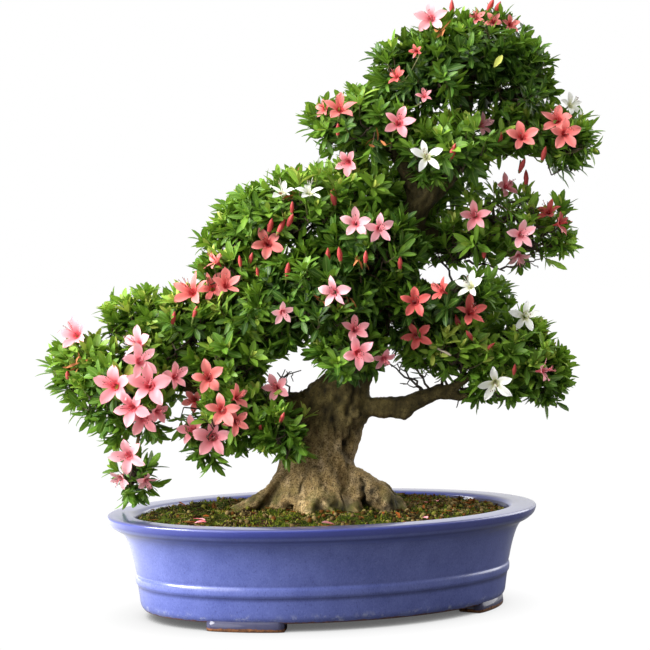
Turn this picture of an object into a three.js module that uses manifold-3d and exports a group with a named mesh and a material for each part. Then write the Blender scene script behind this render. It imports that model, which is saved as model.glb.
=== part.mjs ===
// Satsuki azalea bonsai in flower, in a glazed oval stoneware pot.
// Millimetres, +Z up. The origin is on the resting plane under the middle of the pot, and +X
// runs along the pot. The tree stands a little turned in its pot, in a group of its own, whose
// X is the tree's width, Y its depth (the tree's front is at -Y) and Z its height.

import * as THREE from "three";
import { mergeVertices } from "three/addons/utils/BufferGeometryUtils.js";
import Module from "manifold-3d";

const wasm = await Module();
wasm.setup();

// ---------------------------------------------------------------- driving dimensions

const GAP = 0.35; // clearance between neighbouring pieces
const SLIVER = 0.06; // facets thinner than this are merged away
const TREE_TURN = THREE.MathUtils.degToRad(-22.5); // the tree's front against the pot's
const TREE_PLACE = new THREE.Vector3(-3.1, 1.3, 0); // where the tree's axis stands in the pot

const POT = { halfLength: 225, halfWidth: 167, height: 102, footHeight: 8, segments: 32 };
// The pot's section as [inset from the rim's edge, height], from the underside round the outside
// and over the rim to the floor.
const POT_OUTSIDE = [
  [36.5, 8],
  [32.8, 13],
  [30.2, 32.5],
  [28.2, 35.5],
  [28.2, 41],
  [29.2, 43.5],
  [25.7, 60],
  [20.5, 76],
  [15.5, 85],
  [7.5, 89],
  [0.5, 93],
  [0, 99.5],
  [2, 102],
];
const POT_INSIDE = [
  [25, 102],
  [28, 99.5],
  [38, 68],
  [43, 27],
  [52, 20],
];
const FOOT = { inset: 34, width: 24, sweep: 29, steps: 4, sink: 3 };
const FOOT_BEARINGS = [-131.8, -37.5, 48.2, 142.5]; // degrees round the oval, to each foot's middle
const DRAIN = { radius: 12, x: 78 };
const SCREEN = { side: 40, thick: 1.5, hole: 12, pitch: 18, perSide: 2 };

const SOIL = { rimDrop: 6, mound: 12 };
const SOIL_SHELLS = [0.8, 0.55]; // rings of the soil's surface, as parts of its half length

// The trunk as [height, middle x, middle y, half width, half depth].
const TRUNK_LEVELS = [
  [82, 4, 0, 60, 50],
  [104, 4, 0, 68, 56],
  [118, 3, 0, 63, 51],
  [130, 4, 0, 53, 44],
  [139, -4, 0, 41, 37],
  [150, -3, 0, 38.5, 34],
  [166, 0, 0, 37.5, 32],
  [181, 5, 1, 37.5, 31],
  [196, 12, 2, 39.5, 31],
  [213, 13, 3, 37.5, 29],
  [226, 21, 4, 31, 26],
  [242, 33, 5, 26, 24],
  [275, 46, 6, 23, 22],
  [322, 60, 6, 20.5, 20],
  [366, 77, 4, 18.5, 18],
  [402, 97, 2, 17.5, 17],
  [436, 127, 0, 15, 15],
  [480, 145, 0, 11, 10.5],
  [530, 151, 0, 6.5, 6],
  [566, 150, 0, 3, 3],
];
const TRUNK_SIDES = 12;
const FLUTES = { count: 5, depth: 0.13, top: 190 }; // ribs of the root flare, fading out upward

// Each limb is a list of [x, y, z, radius] from the wood it springs from to its tip.
const LIMBS = {
  right: [[36, -4, 202, 13], [66, -8, 206, 10.5], [84, -10, 207, 9.3], [100, -12, 213, 8.6],
    [118, -12, 218, 7.4], [140, -10, 214, 5.2], [158, -8, 213, 4], [186, -8, 224, 3]],
  rightFork: [[112, -12, 217, 6.5], [134, -14, 224, 5.4], [150, -15, 234, 4.2], [168, -16, 248, 3.4]],
  left: [[6, 0, 192, 25], [-28, -4, 204, 17], [-62, -10, 208, 12], [-110, -14, 222, 9.5],
    [-158, -12, 233, 7], [-196, -8, 241, 4.6]],
  farLeftRise: [[-128, -13, 226, 6.2], [-152, 0, 262, 4.6], [-174, 6, 288, 3]],
  leftRise: [[-66, -10, 210, 8], [-74, -18, 262, 6], [-72, -20, 296, 4.4]],
  droop: [[-166, -11, 235, 4.2], [-178, -24, 198, 3.2], [-186, -27, 164, 2.6], [-190, -27, 146, 1.8]],
  shin: [[-8, -14, 200, 7], [-22, -36, 192, 5], [-32, -46, 184, 3]],
  upperLeft: [[44, 4, 266, 16], [18, -6, 308, 12.5], [-8, -12, 348, 10], [-24, -14, 384, 7.5],
    [-44, -13, 396, 5.4]],
  heartRight: [[50, 2, 290, 10], [84, -26, 306, 6.5], [110, -38, 316, 3.5]],
  skirt: [[36, 0, 246, 9], [28, -34, 260, 5], [24, -46, 264, 3.4]],
  backHeart: [[46, 8, 284, 13], [46, 46, 314, 8], [42, 70, 330, 5]],
  backLeft: [[32, 8, 258, 11], [-2, 34, 286, 7.5], [-30, 46, 292, 5.5], [-64, 50, 286, 4.4]],
  backRight: [[52, 8, 296, 9], [100, 34, 294, 6.5], [134, 48, 291, 4]],
  upperShoulder: [[102, 2, 408, 11], [86, -6, 444, 8], [66, -9, 474, 5.5]],
  rightShoulder: [[138, 0, 462, 9], [174, 4, 474, 6.6], [204, 7, 480, 4.4]],
  rightMiddle: [[86, 4, 386, 11], [124, 14, 376, 8], [156, 20, 371, 6], [200, 15, 378, 4]],
};
const LIMB_SIDES = 5;
// Roots that show on the soil, as limbs are given.
const ROOTS = {
  right: [[34, -12, 124, 17], [58, -20, 118, 15], [74, -26, 105, 11], [88, -32, 90, 7]],
  left: [[-36, -14, 118, 15], [-62, -22, 110, 11], [-88, -30, 103, 7], [-104, -34, 92, 5]],
  front: [[-4, -34, 116, 15], [-10, -56, 106, 11], [-14, -74, 92, 7]],
  frontRight: [[18, -36, 116, 13], [30, -56, 104, 9], [38, -68, 90, 6]],
  back: [[8, 34, 116, 15], [14, 58, 106, 10], [18, 78, 92, 6]],
  backLeft: [[-26, 26, 114, 13], [-46, 46, 104, 9], [-58, 58, 90, 6]],
  backRight: [[36, 24, 114, 13], [58, 40, 104, 9], [70, 50, 90, 6]],
};

// The foliage pads, each a few lumps of leafy shoots: [x, y, z, half width, half depth, half height].
const PADS = {
  apex: [[148, 0, 556, 56, 58, 38], [108, -12, 534, 48, 48, 36], [192, 6, 532, 44, 50, 36]],
  right_shoulder: [[210, 8, 476, 52, 54, 31], [246, 0, 468, 27, 34, 22]],
  left_shoulder: [[60, -10, 486, 52, 52, 36], [20, -14, 490, 27, 32, 21], [126, -36, 460, 50, 42, 30]],
  upper_left: [[-24, -18, 400, 56, 54, 36], [-68, -10, 386, 35, 40, 26], [32, 2, 420, 42, 46, 32]],
  heart: [[50, -44, 362, 56, 50, 38], [-4, -46, 316, 58, 54, 40], [78, -34, 308, 46, 46, 33],
    [128, -40, 318, 40, 38, 27]],
  skirt: [[26, -54, 262, 36, 36, 27]],
  left: [[-74, -14, 346, 42, 42, 28], [-72, -20, 304, 46, 48, 33], [-124, -14, 292, 40, 44, 31],
    [-86, -26, 250, 42, 42, 30], [-82, -32, 202, 46, 42, 31], [-36, -52, 184, 26, 26, 25]],
  far_left: [[-176, 4, 290, 36, 38, 29], [-186, -16, 232, 54, 50, 42], [-234, -8, 244, 34, 36, 30]],
  droop: [[-188, -26, 142, 17, 16, 17]],
  right_low: [[132, -18, 264, 48, 48, 31], [190, -8, 260, 46, 46, 33], [218, -6, 236, 26, 32, 24],
    [178, -18, 228, 32, 30, 20]],
  right_middle: [[148, 20, 368, 40, 42, 27], [180, 14, 398, 42, 38, 24], [216, 8, 374, 38, 32, 24]],
  back_heart: [[40, 74, 334, 64, 46, 48], [108, 62, 424, 50, 42, 44], [72, 66, 380, 44, 40, 36]],
  back_left: [[-92, 50, 282, 50, 40, 36], [-22, 52, 296, 38, 32, 26]],
  back_right: [[150, 56, 296, 52, 38, 38]],
};
const LUMP = { around: 6, down: 4, dent: 0.06, swell: 1.07 };
// A shoot carries a whorl of leaves on a stem that is sunk in its lump.
const LEAF = { perShoot: 5, length: 25, width: 9.5, rib: 4.5, rise: 6, stem: 7, sink: 5, heart: 2.6 };
const SHOOT_SPACING = 30; // distance between the places on a lump where a shoot is tried
const SHOOT_ROOM = 57; // least distance between shoots
const SHOOT_REACH = 262; // farthest a leaf goes to either side, as the tree is turned in the pot
const LOWEST_LEAF = 122; // shoots stay over the pot's rim

// Unopened flower buds, each [x, z] on the face of the tree.
const BUD = { length: 17, width: 6 };
const BUDS = [
  [135, 606], [174, 608], [181, 605], [19, 484], [135, 461], [183, 473], [259, 449], [227, 458],
  [205, 447], [209, 434], [14, 415], [-28, 406], [-30, 393], [-50, 388], [-39, 387], [15, 416],
  [-20, 440], [-70, 355], [-81, 352], [-33, 343], [-13, 348], [8, 358], [20, 358], [-63, 340],
  [46, 355], [81, 349], [106, 368], [166, 359], [-257, 238], [-40, 193], [-61, 186], [-149, 295],
  [-101, 270], [-127, 301], [139, 288], [151, 275], [171, 263], [196, 240],
];

// The open flowers, in trusses that share a twig: each flower is
// [x, z, degrees it faces to the right, degrees it faces up, roll, width across, distance ahead of
// the others].
const TINTS = { coral: 0xe2574f, salmon: 0xea7f7b, pink: 0xf0a3a8, pale: 0xf4c6c8, white: 0xf4f1ec };
const TRUSSES = [
  ["pale", [[108, 600, -20, 35, 0, 36]]],
  ["salmon", [[160, 598, 10, 55, 10, 24], [177, 595, 0, 40, 30, 24, 12], [195, 590, 20, 35, 0, 25]]],
  ["coral", [[77, 537, -40, 30, 0, 30], [98, 561, -30, 5, 20, 24]]],
  ["salmon", [[4, 507, -40, 20, 10, 23], [21, 509, 0, 40, 0, 36, 10]]],
  ["pink", [[107, 518, 0, 30, 15, 22], [81, 492, 0, 10, -10, 34]]],
  ["white", [[109, 458, 0, 12, 8, 34]]],
  ["pale", [[168, 489, 70, 10, 0, 26]]],
  ["salmon", [[206, 477, 0, 15, 10, 34]]],
  ["salmon", [[240, 495, -20, 25, 0, 35], [250, 479, 12, 0, 4, 34, 15]]],
  ["white", [[257, 509, 30, 20, 0, 28]]],
  ["pink", [[27, 451, -30, -10, 36, 28]]],
  ["pink", [[191, 427, 30, 20, 10, 28]]],
  ["pink", [[157, 396, -10, 0, 10, 32]]],
  ["coral", [[230, 402, -30, 40, 0, 28], [246, 388, 55, 10, 0, 26, 8]]],
  ["pale", [[205, 377, 10, 0, 4, 34], [201, 352, 0, -55, 0, 26]]],
  ["pale", [[36, 391, -5, 10, 0, 32], [61, 384, 6, -5, 0, 32, 5]]],
  ["white", [[-38, 425, -12, 55, 0, 28], [-10, 425, 8, 55, 0, 31]]],
  ["salmon", [[-53, 371, 0, 10, 30, 36]]],
  ["salmon", [[-108, 355, -55, 40, 0, 28], [-94, 331, 18, 35, 0, 34, 12], [-112, 327, -22, 20, 30, 34, -4],
    [-133, 325, -28, 30, 0, 42, 8]]],
  ["pale", [[13, 320, -10, 0, 0, 34]]],
  ["pale", [[-38, 299, 10, -20, 10, 25]]],
  ["pink", [[36, 284, 10, 20, 0, 30], [39, 257, 12, -10, 36, 35, 10], [65, 250, 15, -30, 0, 25]]],
  ["coral", [[96, 310, 0, 5, 0, 32, 6], [120, 322, -50, 20, 0, 27]]],
  ["coral", [[153, 300, 12, 18, 0, 35]]],
  ["coral", [[98, 275, 0, 0, 20, 32]]],
  ["white", [[150, 327, -30, 25, 0, 31]]],
  ["white", [[208, 294, 0, 5, 0, 34]]],
  ["white", [[176, 224, -8, -18, 8, 39]]],
  ["pink", [[229, 239, 65, 5, 0, 27]]],
  ["pink", [[-251, 282, -45, 35, 0, 36]]],
  ["pale", [[-189, 271, -38, 15, 0, 36], [-181, 253, 28, 12, 10, 38, 12]]],
  ["pink", [[-212, 228, -18, 10, 10, 43]]],
  ["pink", [[-175, 228, 0, 10, 0, 45, 10], [-146, 237, 30, 20, 0, 30]]],
  ["pink", [[-194, 204, -12, -5, 30, 39, 12], [-180, 192, 18, -30, 0, 36, -3], [-164, 200, 55, -25, 0, 26, 8]]],
  ["salmon", [[-115, 235, 0, 10, 10, 37, 8], [-130, 211, -20, -8, 30, 27]]],
  ["salmon", [[-101, 202, 0, 5, 0, 37, 12], [-83, 215, 45, 20, 0, 27], [-86, 189, 20, -20, 30, 28, -2]]],
  ["pink", [[-133, 182, -20, -8, 10, 31], [-111, 173, 10, -18, 0, 41, 8]]],
  ["pale", [[-198, 155, -12, -5, 20, 42, 12], [-206, 131, -30, -35, 35, 24, 0], [-177, 128, 25, -40, 0, 24, 2]]],
  ["pink", [[-46, 224, 0, 0, 20, 30]]],
];
// Flowers on the back of the tree, given as the others are.
const BACK_TRUSSES = [
  ["pink", [[20, 366, 8, 14, 0, 36], [52, 338, -14, 4, 20, 33], [18, 318, 6, -8, 0, 31]]],
  ["salmon", [[120, 452, 5, 22, 10, 36], [94, 424, -16, 8, 0, 33]]],
];
const FLOWER = { petals: 5, tube: 0.42, knot: 2.6, uprightness: 0.5, bedding: 40 };

// ---------------------------------------------------------------- solids and geometry

function solidFrom(geometry) {
  const bare = new THREE.BufferGeometry();
  bare.setAttribute("position", geometry.attributes.position.clone());
  bare.setIndex(geometry.index);
  const merged = mergeVertices(bare, 1e-4);
  return new wasm.Manifold(new wasm.Mesh({
    numProp: 3,
    vertProperties: new Float32Array(merged.attributes.position.array),
    triVerts: new Uint32Array(merged.index.array),
  }));
}

function geometryFrom(solid) {
  const mesh = solid.getMesh();
  const geometry = new THREE.BufferGeometry();
  geometry.setAttribute("position", new THREE.BufferAttribute(mesh.vertProperties, mesh.numProp));
  geometry.setIndex(new THREE.BufferAttribute(mesh.triVerts, 1));
  geometry.computeVertexNormals();
  return geometry;
}

function polyhedron(points, triangles) {
  const geometry = new THREE.BufferGeometry().setFromPoints(points);
  geometry.setIndex(triangles.flat());
  return geometry;
}

function joined(solids) {
  return solids.reduce((all, solid) => all.add(solid));
}

// Geometry given in the tree's axes, turned and moved to where the tree stands in the pot.
function inPot(geometry) {
  return geometry.rotateZ(TREE_TURN).translate(...TREE_PLACE);
}

// The largest body of a solid: loose scraps that a cut leaves are dropped.
function mainBody(solid) {
  const bodies = solid.decompose();
  return bodies.reduce((best, body) => (body.volume() > best.volume() ? body : best));
}

// A closed skin over rings of equally many points, with each end drawn in to a point.
function skin(rings, startPoint, endPoint) {
  const count = rings[0].length;
  const points = [startPoint, ...rings.flat(), endPoint];
  const last = points.length - 1;
  const triangles = [];
  for (let i = 0; i < count; i += 1) {
    const next = (i + 1) % count;
    triangles.push([0, 1 + next, 1 + i]);
    triangles.push([last, last - count + i, last - count + next]);
    for (let ring = 0; ring < rings.length - 1; ring += 1) {
      const low = 1 + ring * count;
      const high = low + count;
      triangles.push([low + i, low + next, high + next]);
      triangles.push([low + i, high + next, high + i]);
    }
  }
  return polyhedron(points, triangles);
}

// A round limb along [x, y, z, radius] points, its ends drawn to blunt tips.
function limb(path, grow, sides = LIMB_SIDES) {
  const centres = path.map(([x, y, z]) => new THREE.Vector3(x, y, z));
  const lastIndex = centres.length - 1;
  const side = new THREE.Vector3();
  const rings = centres.map((centre, i) => {
    const before = centres[Math.max(i - 1, 0)];
    const after = centres[Math.min(i + 1, lastIndex)];
    const along = after.clone().sub(before).normalize();
    if (i === 0) {
      side.set(0, 1, 0);
      if (Math.abs(along.y) > 0.8) side.set(1, 0, 0);
    }
    side.addScaledVector(along, -side.dot(along)).normalize();
    const up = along.clone().cross(side);
    const radius = path[i][3] + grow;
    return Array.from({ length: sides }, (_, k) => {
      const angle = (2 * Math.PI * k) / sides;
      return centre.clone()
        .addScaledVector(side, radius * Math.cos(angle))
        .addScaledVector(up, radius * Math.sin(angle));
    });
  });
  const first = centres[0].clone().sub(centres[1]).normalize();
  const last = centres[lastIndex].clone().sub(centres[lastIndex - 1]).normalize();
  return skin(
    rings,
    centres[0].clone().addScaledVector(first, 0.4 * path[0][3] + grow),
    centres[lastIndex].clone().addScaledVector(last, 0.9 * path[lastIndex][3] + grow),
  );
}

// ---------------------------------------------------------------- pot, screens and soil

function ovalRing(inset, z, segments = POT.segments) {
  return Array.from({ length: segments }, (_, i) => {
    const angle = (2 * Math.PI * i) / segments;
    return new THREE.Vector3(
      (POT.halfLength - inset) * Math.cos(angle),
      (POT.halfWidth - inset) * Math.sin(angle),
      z,
    );
  });
}

function footSolid(bearing) {
  const inner = FOOT.inset + FOOT.width;
  const top = POT.footHeight + FOOT.sink;
  const rings = Array.from({ length: FOOT.steps }, (_, i) => {
    const turn = THREE.MathUtils.degToRad(bearing + FOOT.sweep * (i / (FOOT.steps - 1) - 0.5));
    const corner = (inset, z) => new THREE.Vector3(
      (POT.halfLength - inset) * Math.cos(turn),
      (POT.halfWidth - inset) * Math.sin(turn),
      z,
    );
    return [
      corner(FOOT.inset, top),
      corner(FOOT.inset, 2),
      corner(FOOT.inset + 1.5, 0),
      corner(inner, 0),
      corner(inner + 2, top),
    ];
  });
  const middle = (ring) => ring.reduce((sum, p) => sum.add(p), new THREE.Vector3())
    .divideScalar(ring.length);
  return solidFrom(skin(rings, middle(rings[0]), middle(rings[FOOT.steps - 1])));
}

function potSolid() {
  const floor = POT_INSIDE[POT_INSIDE.length - 1][1];
  const rings = [...POT_OUTSIDE, ...POT_INSIDE].map(([inset, z]) => ovalRing(inset, z));
  const shell = skin(
    rings,
    new THREE.Vector3(0, 0, POT.footHeight),
    new THREE.Vector3(0, 0, floor),
  );
  const drains = [-DRAIN.x, DRAIN.x].map((x) => {
    const bore = new THREE.CylinderGeometry(DRAIN.radius, DRAIN.radius, 4 * floor, 16);
    return solidFrom(bore.rotateX(Math.PI / 2).translate(x, 0, 0));
  });
  return joined([solidFrom(shell), ...FOOT_BEARINGS.map(footSolid)]).subtract(joined(drains));
}

// A square of plastic mesh over a drainage hole.
function screenSolid() {
  const plate = new THREE.BoxGeometry(SCREEN.side, SCREEN.side, SCREEN.thick);
  const first = -(SCREEN.pitch * (SCREEN.perSide - 1)) / 2;
  const openings = Array.from({ length: SCREEN.perSide ** 2 }, (_, i) => {
    const opening = new THREE.BoxGeometry(SCREEN.hole, SCREEN.hole, 3 * SCREEN.thick);
    const column = i % SCREEN.perSide;
    const row = Math.floor(i / SCREEN.perSide);
    return solidFrom(opening.translate(first + SCREEN.pitch * column, first + SCREEN.pitch * row, 0));
  });
  return solidFrom(plate).subtract(joined(openings));
}

// The soil fills the pot's inside and rises in a soft mound to the trunk.
function soilSolid(treeHole) {
  const floor = POT_INSIDE[POT_INSIDE.length - 1][1] + GAP;
  const edgeHeight = POT.height - SOIL.rimDrop;
  const walls = POT_INSIDE.filter(([, z]) => z < edgeHeight).reverse()
    .map(([inset, z]) => ovalRing(inset + GAP, Math.max(z, floor), POT.segments));
  const edge = ovalRing(30.5 + GAP, edgeHeight);
  const surface = SOIL_SHELLS.map((share) => edge.map((p, i) => {
    const rise = SOIL.mound * (1 - share) ** 0.8;
    const unevenness = 1.3 * Math.sin(i * 1.9 + share * 23);
    return new THREE.Vector3(p.x * share, p.y * share, edgeHeight + rise + unevenness);
  }));
  const filling = skin(
    [...walls, edge, ...surface],
    new THREE.Vector3(0, 0, floor),
    new THREE.Vector3(0, 0, edgeHeight + SOIL.mound),
  );
  const screenBeds = [-DRAIN.x, DRAIN.x].map((x) => {
    const bed = new THREE.BoxGeometry(SCREEN.side + 2 * GAP, SCREEN.side + 2 * GAP, 2 * SCREEN.thick);
    return solidFrom(bed.translate(x, 0, floor + GAP));
  });
  return mainBody(solidFrom(filling).subtract(joined(screenBeds)).subtract(treeHole));
}

// ---------------------------------------------------------------- tree

function trunkSkin(grow) {
  const rings = TRUNK_LEVELS.map(([z, cx, cy, halfWidth, halfDepth]) => {
    const fade = Math.max(0, 1 - z / FLUTES.top);
    return Array.from({ length: TRUNK_SIDES }, (_, i) => {
      const angle = (2 * Math.PI * i) / TRUNK_SIDES;
      const flute = 1 + FLUTES.depth * 2 * fade * Math.sin(FLUTES.count * angle + z / 40);
      return new THREE.Vector3(
        cx + (halfWidth + grow) * flute * Math.cos(angle),
        cy + (halfDepth + grow) * flute * Math.sin(angle),
        z,
      );
    });
  });
  const [lowZ, lowX, lowY] = TRUNK_LEVELS[0];
  const [topZ, topX, topY] = TRUNK_LEVELS[TRUNK_LEVELS.length - 1];
  return skin(
    rings,
    new THREE.Vector3(lowX, lowY, lowZ - 4 - grow),
    new THREE.Vector3(topX, topY, topZ + 3 + grow),
  );
}

function treeSolid(grow) {
  const wood = [...Object.values(LIMBS), ...Object.values(ROOTS)];
  return joined([solidFrom(trunkSkin(grow)), ...wood.map((path) => solidFrom(limb(path, grow)))]);
}

// ---------------------------------------------------------------- foliage lumps

function lumpSolid([x, y, z, halfWidth, halfDepth, halfHeight], grow) {
  const ball = new THREE.SphereGeometry(1, LUMP.around, LUMP.down);
  ball.rotateX(Math.PI / 2).rotateZ(x);
  const position = ball.attributes.position;
  const point = new THREE.Vector3();
  for (let i = 0; i < position.count; i += 1) {
    point.fromBufferAttribute(position, i).normalize();
    const wave = Math.sin(3.3 * point.x + x) * Math.cos(2.9 * point.y + y) + Math.sin(4.1 * point.z + z);
    const size = LUMP.swell + LUMP.dent * wave;
    position.setXYZ(
      i,
      x + (halfWidth * size + grow) * point.x,
      y + (halfDepth * size + grow) * point.y,
      z + (halfHeight * size + grow) * point.z,
    );
  }
  return solidFrom(ball);
}

const ALL_LUMPS = Object.values(PADS).flat();

// How deep a point is in a lump: under 1 is inside.
function lumpDepth(point, [x, y, z, halfWidth, halfDepth, halfHeight]) {
  return Math.hypot(
    (point.x - x) / halfWidth,
    (point.y - y) / halfDepth,
    (point.z - z) / halfHeight,
  );
}

function nearestLump(point) {
  return ALL_LUMPS.reduce((best, lump) => (lumpDepth(point, lump) < lumpDepth(point, best) ? lump : best));
}

// Where the foliage's face lies at x, z, on the side towards -Y (side -1) or +Y (side 1).
function faceOf(x, z, side) {
  let best = null;
  for (const [cx, cy, cz, halfWidth, halfDepth, halfHeight] of ALL_LUMPS) {
    const off = ((x - cx) / halfWidth) ** 2 + ((z - cz) / halfHeight) ** 2;
    if (off < 0.97) {
      const y = cy + side * halfDepth * Math.sqrt(1 - off);
      if (best === null || side * y > side * best) best = y;
    }
  }
  if (best !== null) return best;
  return nearestLump(new THREE.Vector3(x, 0, z))[1];
}

// ---------------------------------------------------------------- flowers

// One flower of five pointed petals, its face at the origin looking along +Z. Its tube tapers to
// the point tubeEnd behind it.
function flowerGeometry(width, tubeEnd, grow) {
  const at = (radius, angle, z) => new THREE.Vector3(
    radius * Math.cos(angle),
    radius * Math.sin(angle),
    z,
  );
  const points = [at(0, 0, -0.22 * width + grow), tubeEnd.clone().setLength(tubeEnd.length() + 4 * grow)];
  const triangles = [];
  const spread = 0.34 + (5 * grow) / width;
  for (let i = 0; i < FLOWER.petals; i += 1) {
    const middle = Math.PI / 2 + (2 * Math.PI * i) / FLOWER.petals;
    points.push(
      at(0.13 * width + 1.5 * grow, middle - Math.PI / FLOWER.petals, -0.14 * width + 0.5 * grow),
      at(0.33 * width + grow, middle - spread, -0.03 * width - grow),
      at(0.5 * width + 4 * grow, middle, -0.05 * width - 0.6 * grow),
      at(0.33 * width + grow, middle + spread, -0.03 * width - grow),
      at(0.28 * width, middle, 0.04 * width + grow),
    );
    const [notch, right, tip, left, rib] = [0, 1, 2, 3, 4].map((k) => 2 + 5 * i + k);
    const nextNotch = 2 + 5 * ((i + 1) % FLOWER.petals);
    triangles.push([0, notch, rib], [notch, right, rib], [right, tip, rib]);
    triangles.push([tip, left, rib], [left, nextNotch, rib], [0, rib, nextNotch]);
    triangles.push([1, nextNotch, notch], [nextNotch, left, notch]);
    triangles.push([notch, left, right], [left, tip, right]);
  }
  return polyhedron(points, triangles);
}

// A flower's place: its face at x, z in front of the foliage, on side -1 or 1 of the tree.
function flowerPlace([x, z, , , , width, ahead = 0], side, push) {
  const standing = FLOWER.tube * width + ahead + push;
  return new THREE.Vector3(x, faceOf(x, z, side) + side * standing, z);
}

// The flower's own axes, turned to its bearing but never back to its seat.
function flowerMatrix([, , toRight, up, roll], place, seat, side) {
  const yaw = THREE.MathUtils.degToRad(toRight);
  const pitch = THREE.MathUtils.degToRad(up);
  const facing = new THREE.Vector3(
    -side * Math.sin(yaw) * Math.cos(pitch),
    side * Math.cos(yaw) * Math.cos(pitch),
    Math.sin(pitch),
  );
  const outward = place.clone().sub(seat).normalize();
  while (facing.dot(outward) < FLOWER.uprightness) facing.addScaledVector(outward, 0.1).normalize();
  const upright = new THREE.Vector3(0, 0, 1).addScaledVector(facing, -facing.z).normalize();
  const right = upright.clone().cross(facing);
  return new THREE.Matrix4().makeBasis(right, upright, facing).setPosition(place)
    .multiply(new THREE.Matrix4().makeRotationZ(THREE.MathUtils.degToRad(roll)));
}

// The place on the foliage's skin that lies under a point, and a gap clear of it.
function seatUnder(point, skins) {
  const lump = nearestLump(point);
  const inward = new THREE.Vector3(lump[0], lump[1], lump[2]).sub(point).normalize();
  const hits = [0, 40, 80].flatMap((back) => {
    const start = point.clone().addScaledVector(inward, -back);
    return new THREE.Raycaster(start, inward).intersectObjects(skins);
  });
  return hits[0].point.addScaledVector(inward, -GAP);
}

function trussSolid(flowers, side, push, skins, grow) {
  const places = flowers.map((flower) => flowerPlace(flower, side, push));
  const middle = places.reduce((sum, place) => sum.add(place), new THREE.Vector3())
    .divideScalar(places.length);
  const seat = seatUnder(middle, skins);
  const outward = middle.clone().sub(seat).normalize();
  const knot = seat.clone();
  if (flowers.length > 1) knot.addScaledVector(outward, FLOWER.knot);
  const heads = flowers.map((flower, i) => {
    const matrix = flowerMatrix(flower, places[i], knot, side);
    const tubeEnd = knot.clone().applyMatrix4(matrix.clone().invert());
    return solidFrom(flowerGeometry(flower[5], tubeEnd, grow).applyMatrix4(matrix));
  });
  if (flowers.length === 1) return heads[0];
  const towards = new THREE.Quaternion().setFromUnitVectors(new THREE.Vector3(0, 0, 1), outward);
  const knob = new THREE.OctahedronGeometry(FLOWER.knot + grow, 0).applyQuaternion(towards)
    .translate(knot.x, knot.y, knot.z);
  return joined([...heads, solidFrom(knob)]).simplify(SLIVER);
}

// ---------------------------------------------------------------- leaves and buds

// A whorl of pointed leaves, each ridged along its middle, on a stem along +Z from the origin.
function whorlGeometry(turn, grow) {
  const at = (radius, angle, z) => new THREE.Vector3(
    radius * Math.cos(angle),
    radius * Math.sin(angle),
    z,
  );
  const points = [at(0, 0, LEAF.stem + LEAF.rib + grow), at(0, 0, -LEAF.sink)];
  const triangles = [];
  for (let i = 0; i < LEAF.perShoot; i += 1) {
    const middle = turn + (2 * Math.PI * i) / LEAF.perShoot;
    const length = LEAF.length * (1 + 0.08 * Math.sin(5 * i + turn)) + grow;
    const spread = Math.atan2(LEAF.width / 2 + 3 * grow, 0.52 * length);
    const waist = Math.hypot(LEAF.width / 2 + 3 * grow, 0.52 * length);
    points.push(
      at(LEAF.heart + 1.5 * grow, middle - Math.PI / LEAF.perShoot, LEAF.stem),
      at(waist, middle - spread, LEAF.stem + 0.6 * LEAF.rise - grow),
      at(length + 3 * grow, middle, LEAF.stem + LEAF.rise),
      at(waist, middle + spread, LEAF.stem + 0.6 * LEAF.rise - grow),
    );
    const [notch, right, tip, left] = [0, 1, 2, 3].map((k) => 2 + 4 * i + k);
    const nextNotch = 2 + 4 * ((i + 1) % LEAF.perShoot);
    triangles.push([0, notch, right], [0, right, tip], [0, tip, left], [0, left, nextNotch]);
    triangles.push([1, nextNotch, notch], [nextNotch, left, notch]);
    triangles.push([notch, left, right], [left, tip, right]);
  }
  return polyhedron(points, triangles);
}

function budSolid(root, along) {
  const side = new THREE.Vector3(0, 1, 0).cross(along).normalize();
  const up = along.clone().cross(side);
  const waist = root.clone().addScaledVector(along, 0.55 * BUD.length);
  const ring = [0, 1, 2].map((k) => waist.clone()
    .addScaledVector(side, (BUD.width / 2) * Math.cos((2 * k * Math.PI) / 3))
    .addScaledVector(up, (BUD.width / 2) * Math.sin((2 * k * Math.PI) / 3)));
  return solidFrom(skin([ring], root, root.clone().addScaledVector(along, BUD.length)));
}

// Places spread evenly over a lump's skin, as [place, outward direction].
function shootsOn(lump) {
  const [x, y, z, halfWidth, halfDepth, halfHeight] = lump;
  const meanRadius = (halfWidth + halfDepth + halfHeight) / 3;
  const count = Math.round((4 * Math.PI * meanRadius ** 2) / SHOOT_SPACING ** 2);
  const golden = Math.PI * (3 - Math.sqrt(5));
  return Array.from({ length: count }, (_, i) => {
    const height = 1 - (2 * (i + 0.5)) / count;
    const ring = Math.sqrt(1 - height ** 2);
    const turn = golden * i + x;
    const unit = new THREE.Vector3(ring * Math.cos(turn), ring * Math.sin(turn), height);
    const place = new THREE.Vector3(x + halfWidth * unit.x, y + halfDepth * unit.y, z + halfHeight * unit.z);
    const outward = new THREE.Vector3(
      unit.x / halfWidth,
      unit.y / halfDepth,
      unit.z / halfHeight,
    ).normalize();
    return [place, outward];
  });
}

function isFreeShoot([place], whorl, ownLump, taken) {
  const planted = solidFrom(inPot(geometryFrom(whorl))).boundingBox();
  const inReach = Math.max(-planted.min[0], planted.max[0]) < SHOOT_REACH;
  const clearOfLumps = ALL_LUMPS.every((lump) => lump === ownLump || lumpDepth(place, lump) > 1.02);
  const clearOfShoots = taken.every((other) => other.distanceTo(place) > SHOOT_ROOM);
  return inReach && clearOfLumps && clearOfShoots && place.z > LOWEST_LEAF;
}

function meets(solidA, solidB) {
  return solidA.intersect(solidB).volume() > 0;
}

// ---------------------------------------------------------------- putting the tree together

const tree = treeSolid(0).simplify(SLIVER);
const treeRoom = treeSolid(GAP);

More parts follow.
